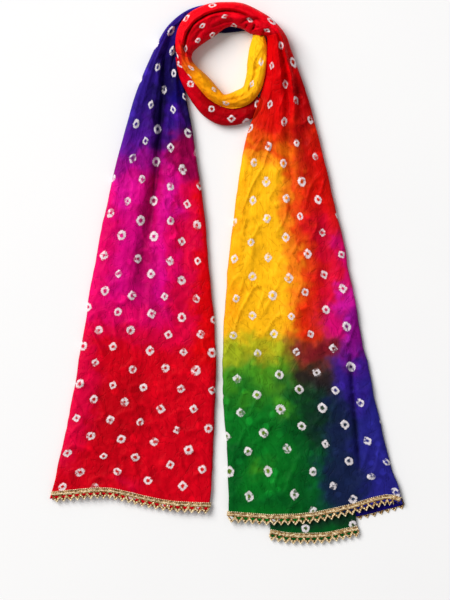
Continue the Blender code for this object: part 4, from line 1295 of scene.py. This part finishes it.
def build():
    """Makes each stretch of cloth after those it lies on, then the under layers and the lace."""
    left = Run(LEFT_RUN, LEFT_HEM, LEFT_FOLDS)
    right = Run(RIGHT_RUN, RIGHT_HEM, RIGHT_FOLDS)
    low = Run(LOW_RUN)
    cloth, gold = silk(), gold_thread()

    s = left.rows(0, len(LEFT_RUN) - 1, TAIL_PITCH)
    left_sheet = Sheet(left, s, spaced(112, 0.35), [], LEFT_LOOK, LEFT_CREASES)
    left_tree = left_sheet.tree()
    dots = dot_lattice(left, s, LEFT_DOTS)
    split = int(np.searchsorted(s, left.knots[LEFT_TAIL_END]))
    tail, neck = slice(0, split + 1), slice(split, len(s))
    left_cloth = shell("left_cloth", left_sheet, LEFT_POURS, dots, cloth, warp=0.010, seed=15, rows=tail)
    neck_cloth = shell("neck_cloth", left_sheet, LEFT_POURS, dots, cloth, warp=0.010, seed=15, rows=neck)

    s = low.rows(0, len(LOW_RUN) - 1, RING_PITCH)
    low_sheet = Sheet(low, s, spaced(44), [left_tree], LOW_LOOK, LOW_CREASES)
    dots = dot_lattice(low, s, LOW_DOTS)
    low_cloth = shell("low_cloth", low_sheet, LOW_POURS, dots, cloth, warp=0.004, seed=25)
    below = [left_tree, low_sheet.tree()]

    top_s = right.rows(RIGHT_TAIL_END, LOOP_TOP_END, RING_PITCH)
    s = right.rows(LOOP_TOP_END, len(RIGHT_RUN) - 1, RING_PITCH)
    dots = dot_lattice(right, np.concatenate([top_s, s]), LOOP_DOTS)
    roll_sheet = Sheet(right, s, spaced(56, 0.45), below, RIGHT_LOOK, LOOP_CREASES, LOOP_LOOK)
    roll_cloth = shell("roll_cloth", roll_sheet, ROLL_POURS, dots, cloth, warp=0.004, seed=35)
    below.append(roll_sheet.tree(int(np.searchsorted(s, right.knots[ROLL_CLEAR_OF_TOP]))))

    top_sheet = Sheet(right, top_s, spaced(72, 0.45), below, RIGHT_LOOK, LOOP_CREASES, LOOP_LOOK)
    top_cloth = shell("top_cloth", top_sheet, TOP_POURS, dots, cloth, warp=0.004, seed=35)

    s = right.rows(0, RIGHT_TAIL_END, TAIL_PITCH)
    right_sheet = Sheet(right, s, spaced(122, 0.35), below, RIGHT_LOOK, RIGHT_CREASES, LOOP_LOOK)
    dots = dot_lattice(right, s, RIGHT_DOTS)
    right_cloth = shell("right_cloth", right_sheet, RIGHT_POURS, dots, cloth, warp=0.011, seed=45)

    edge = left.points(np.array([0.0]), np.linspace(*LEFT_UNDER_ACROSS, UNDER_COLUMNS)[None, :])[0]
    left_under = under_layer("left_under_cloth", left, LEFT_UNDER_ACROSS, edge - (0.0, LEFT_UNDER_DROP),
                             LEFT_UNDER_TOP, LEFT_UNDER_POURS, (), 51, cloth)
    blue = under_layer("blue_cloth", right, BLUE_ACROSS, resample(BLUE_HEM, UNDER_COLUMNS)[0],
                       BLUE_TOP, BLUE_POURS, (), 52, cloth)
    strip = under_layer("strip_cloth", right, STRIP_ACROSS, resample(STRIP_HEM, UNDER_COLUMNS)[0],
                        STRIP_TOP, STRIP_POURS, STRIP_DOTS, 53, cloth)

    across, hem_s = np.linspace(*LACE_ENDS, 60)[None, :], np.array([HEM_DEPTH])
    above = np.array([0.0, HEM_DEPTH])
    left_lace = lace("left_lace_gold", left.points(hem_s, across)[0], left_tree[0], 0.0, 61, gold)
    right_tree = right_sheet.tree()
    right_lace = lace("right_lace_gold", right.points(hem_s, across)[0], right_tree[0], 0.0, 62, gold)
    # The under lace lies in the shadow of the tail's hem and is darkened as painted shadow
    under_lace = lace("under_lace_gold", BLUE_HEM + above, None, 0.0, 63, gold, painted_shadow=0.35)
    strip_lace = lace("strip_lace_gold", STRIP_HEM + above, None, STRIP_LACE_Z, 64, gold)

    for made, node, slot, *cut_and_lay in (
            (left_lace, "left_lace", "gold_lace"),
            (right_lace, "right_lace", "gold_lace"),
            (under_lace, "right_under_lace", "gold_lace"),
            (strip_lace, "right_strip_lace", "gold_lace"),
            (left_cloth, "left_tail", "silk_crimson", left_sheet.cut(tail), [], [left_lace]),
            (neck_cloth, "neck_back", "silk_navy", left_sheet.cut(neck), [], ()),
            (low_cloth, "loop_low", "silk_red", low_sheet.cut(), ["left_tail"], ()),
            (roll_cloth, "loop_roll", "silk_amber", roll_sheet.cut(), ["loop_low"], ()),
            (top_cloth, "loop_top", "silk_red", top_sheet.cut(), ["neck_back", "loop_low"], ()),
            (right_cloth, "right_tail", "silk_rainbow", right_sheet.cut(), ["loop_low"], [right_lace]),
            (left_under, "left_under", "silk_crimson", LEFT_UNDER_CUT, [], ()),
            (blue, "right_under", "silk_blue", BLUE_CUT, [], [under_lace]),
            (strip, "right_strip", "silk_green", STRIP_CUT, ["right_under"], [strip_lace])):
        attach(made, "root")
        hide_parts(node)


# The camera looks straight down, as the photographer's did, and one large soft light stands at upper left
VIEW_CENTRE = (-0.00385, -0.04278)
VIEW_HEIGHT = 8.0
VIEW_LENS = 300.0
VIEW_CLIP = 40.0
FLOOR_SIZE = 12.0
FLOOR_Z = -0.0003
SKY_STRENGTH = 0.35
KEY_PLACE = (-8.1, 6.9, 9.3)
KEY_SIZE = 9.6
KEY_POWER = 2350.0
KEY_COLOUR = (1.0, 0.988, 0.978)


def studio():
    """Camera, pale floor, even light from all round and the key light."""
    scene = bpy.context.scene
    lens = bpy.data.cameras.new("camera")
    lens.lens = VIEW_LENS
    lens.clip_end = VIEW_CLIP
    camera = bpy.data.objects.new("camera", lens)
    camera.location = (*VIEW_CENTRE, VIEW_HEIGHT)
    scene.collection.objects.link(camera)
    scene.camera = camera

    bpy.ops.mesh.primitive_plane_add(size=FLOOR_SIZE, location=(0, 0, FLOOR_Z))
    floor = bpy.context.object
    floor.name = "floor"
    floor.data.materials.append(pale_floor())

    world = bpy.data.worlds.new("studio")
    scene.world = world
    world.use_nodes = True
    sky = world.node_tree.nodes["Background"].inputs
    sky["Color"].default_value = (1.0, 1.0, 1.0, 1.0)
    sky["Strength"].default_value = SKY_STRENGTH

    lamp = bpy.data.lights.new("key", "AREA")
    lamp.shape = "DISK"
    lamp.size = KEY_SIZE
    lamp.energy = KEY_POWER
    lamp.color = KEY_COLOUR
    key = bpy.data.objects.new("key", lamp)
    key.location = KEY_PLACE
    key.rotation_euler = (-Vector(KEY_PLACE)).to_track_quat("-Z", "Y").to_euler()
    key.visible_camera = False
    scene.collection.objects.link(key)
    scene.view_settings.view_transform = "Standard"


build()
studio()
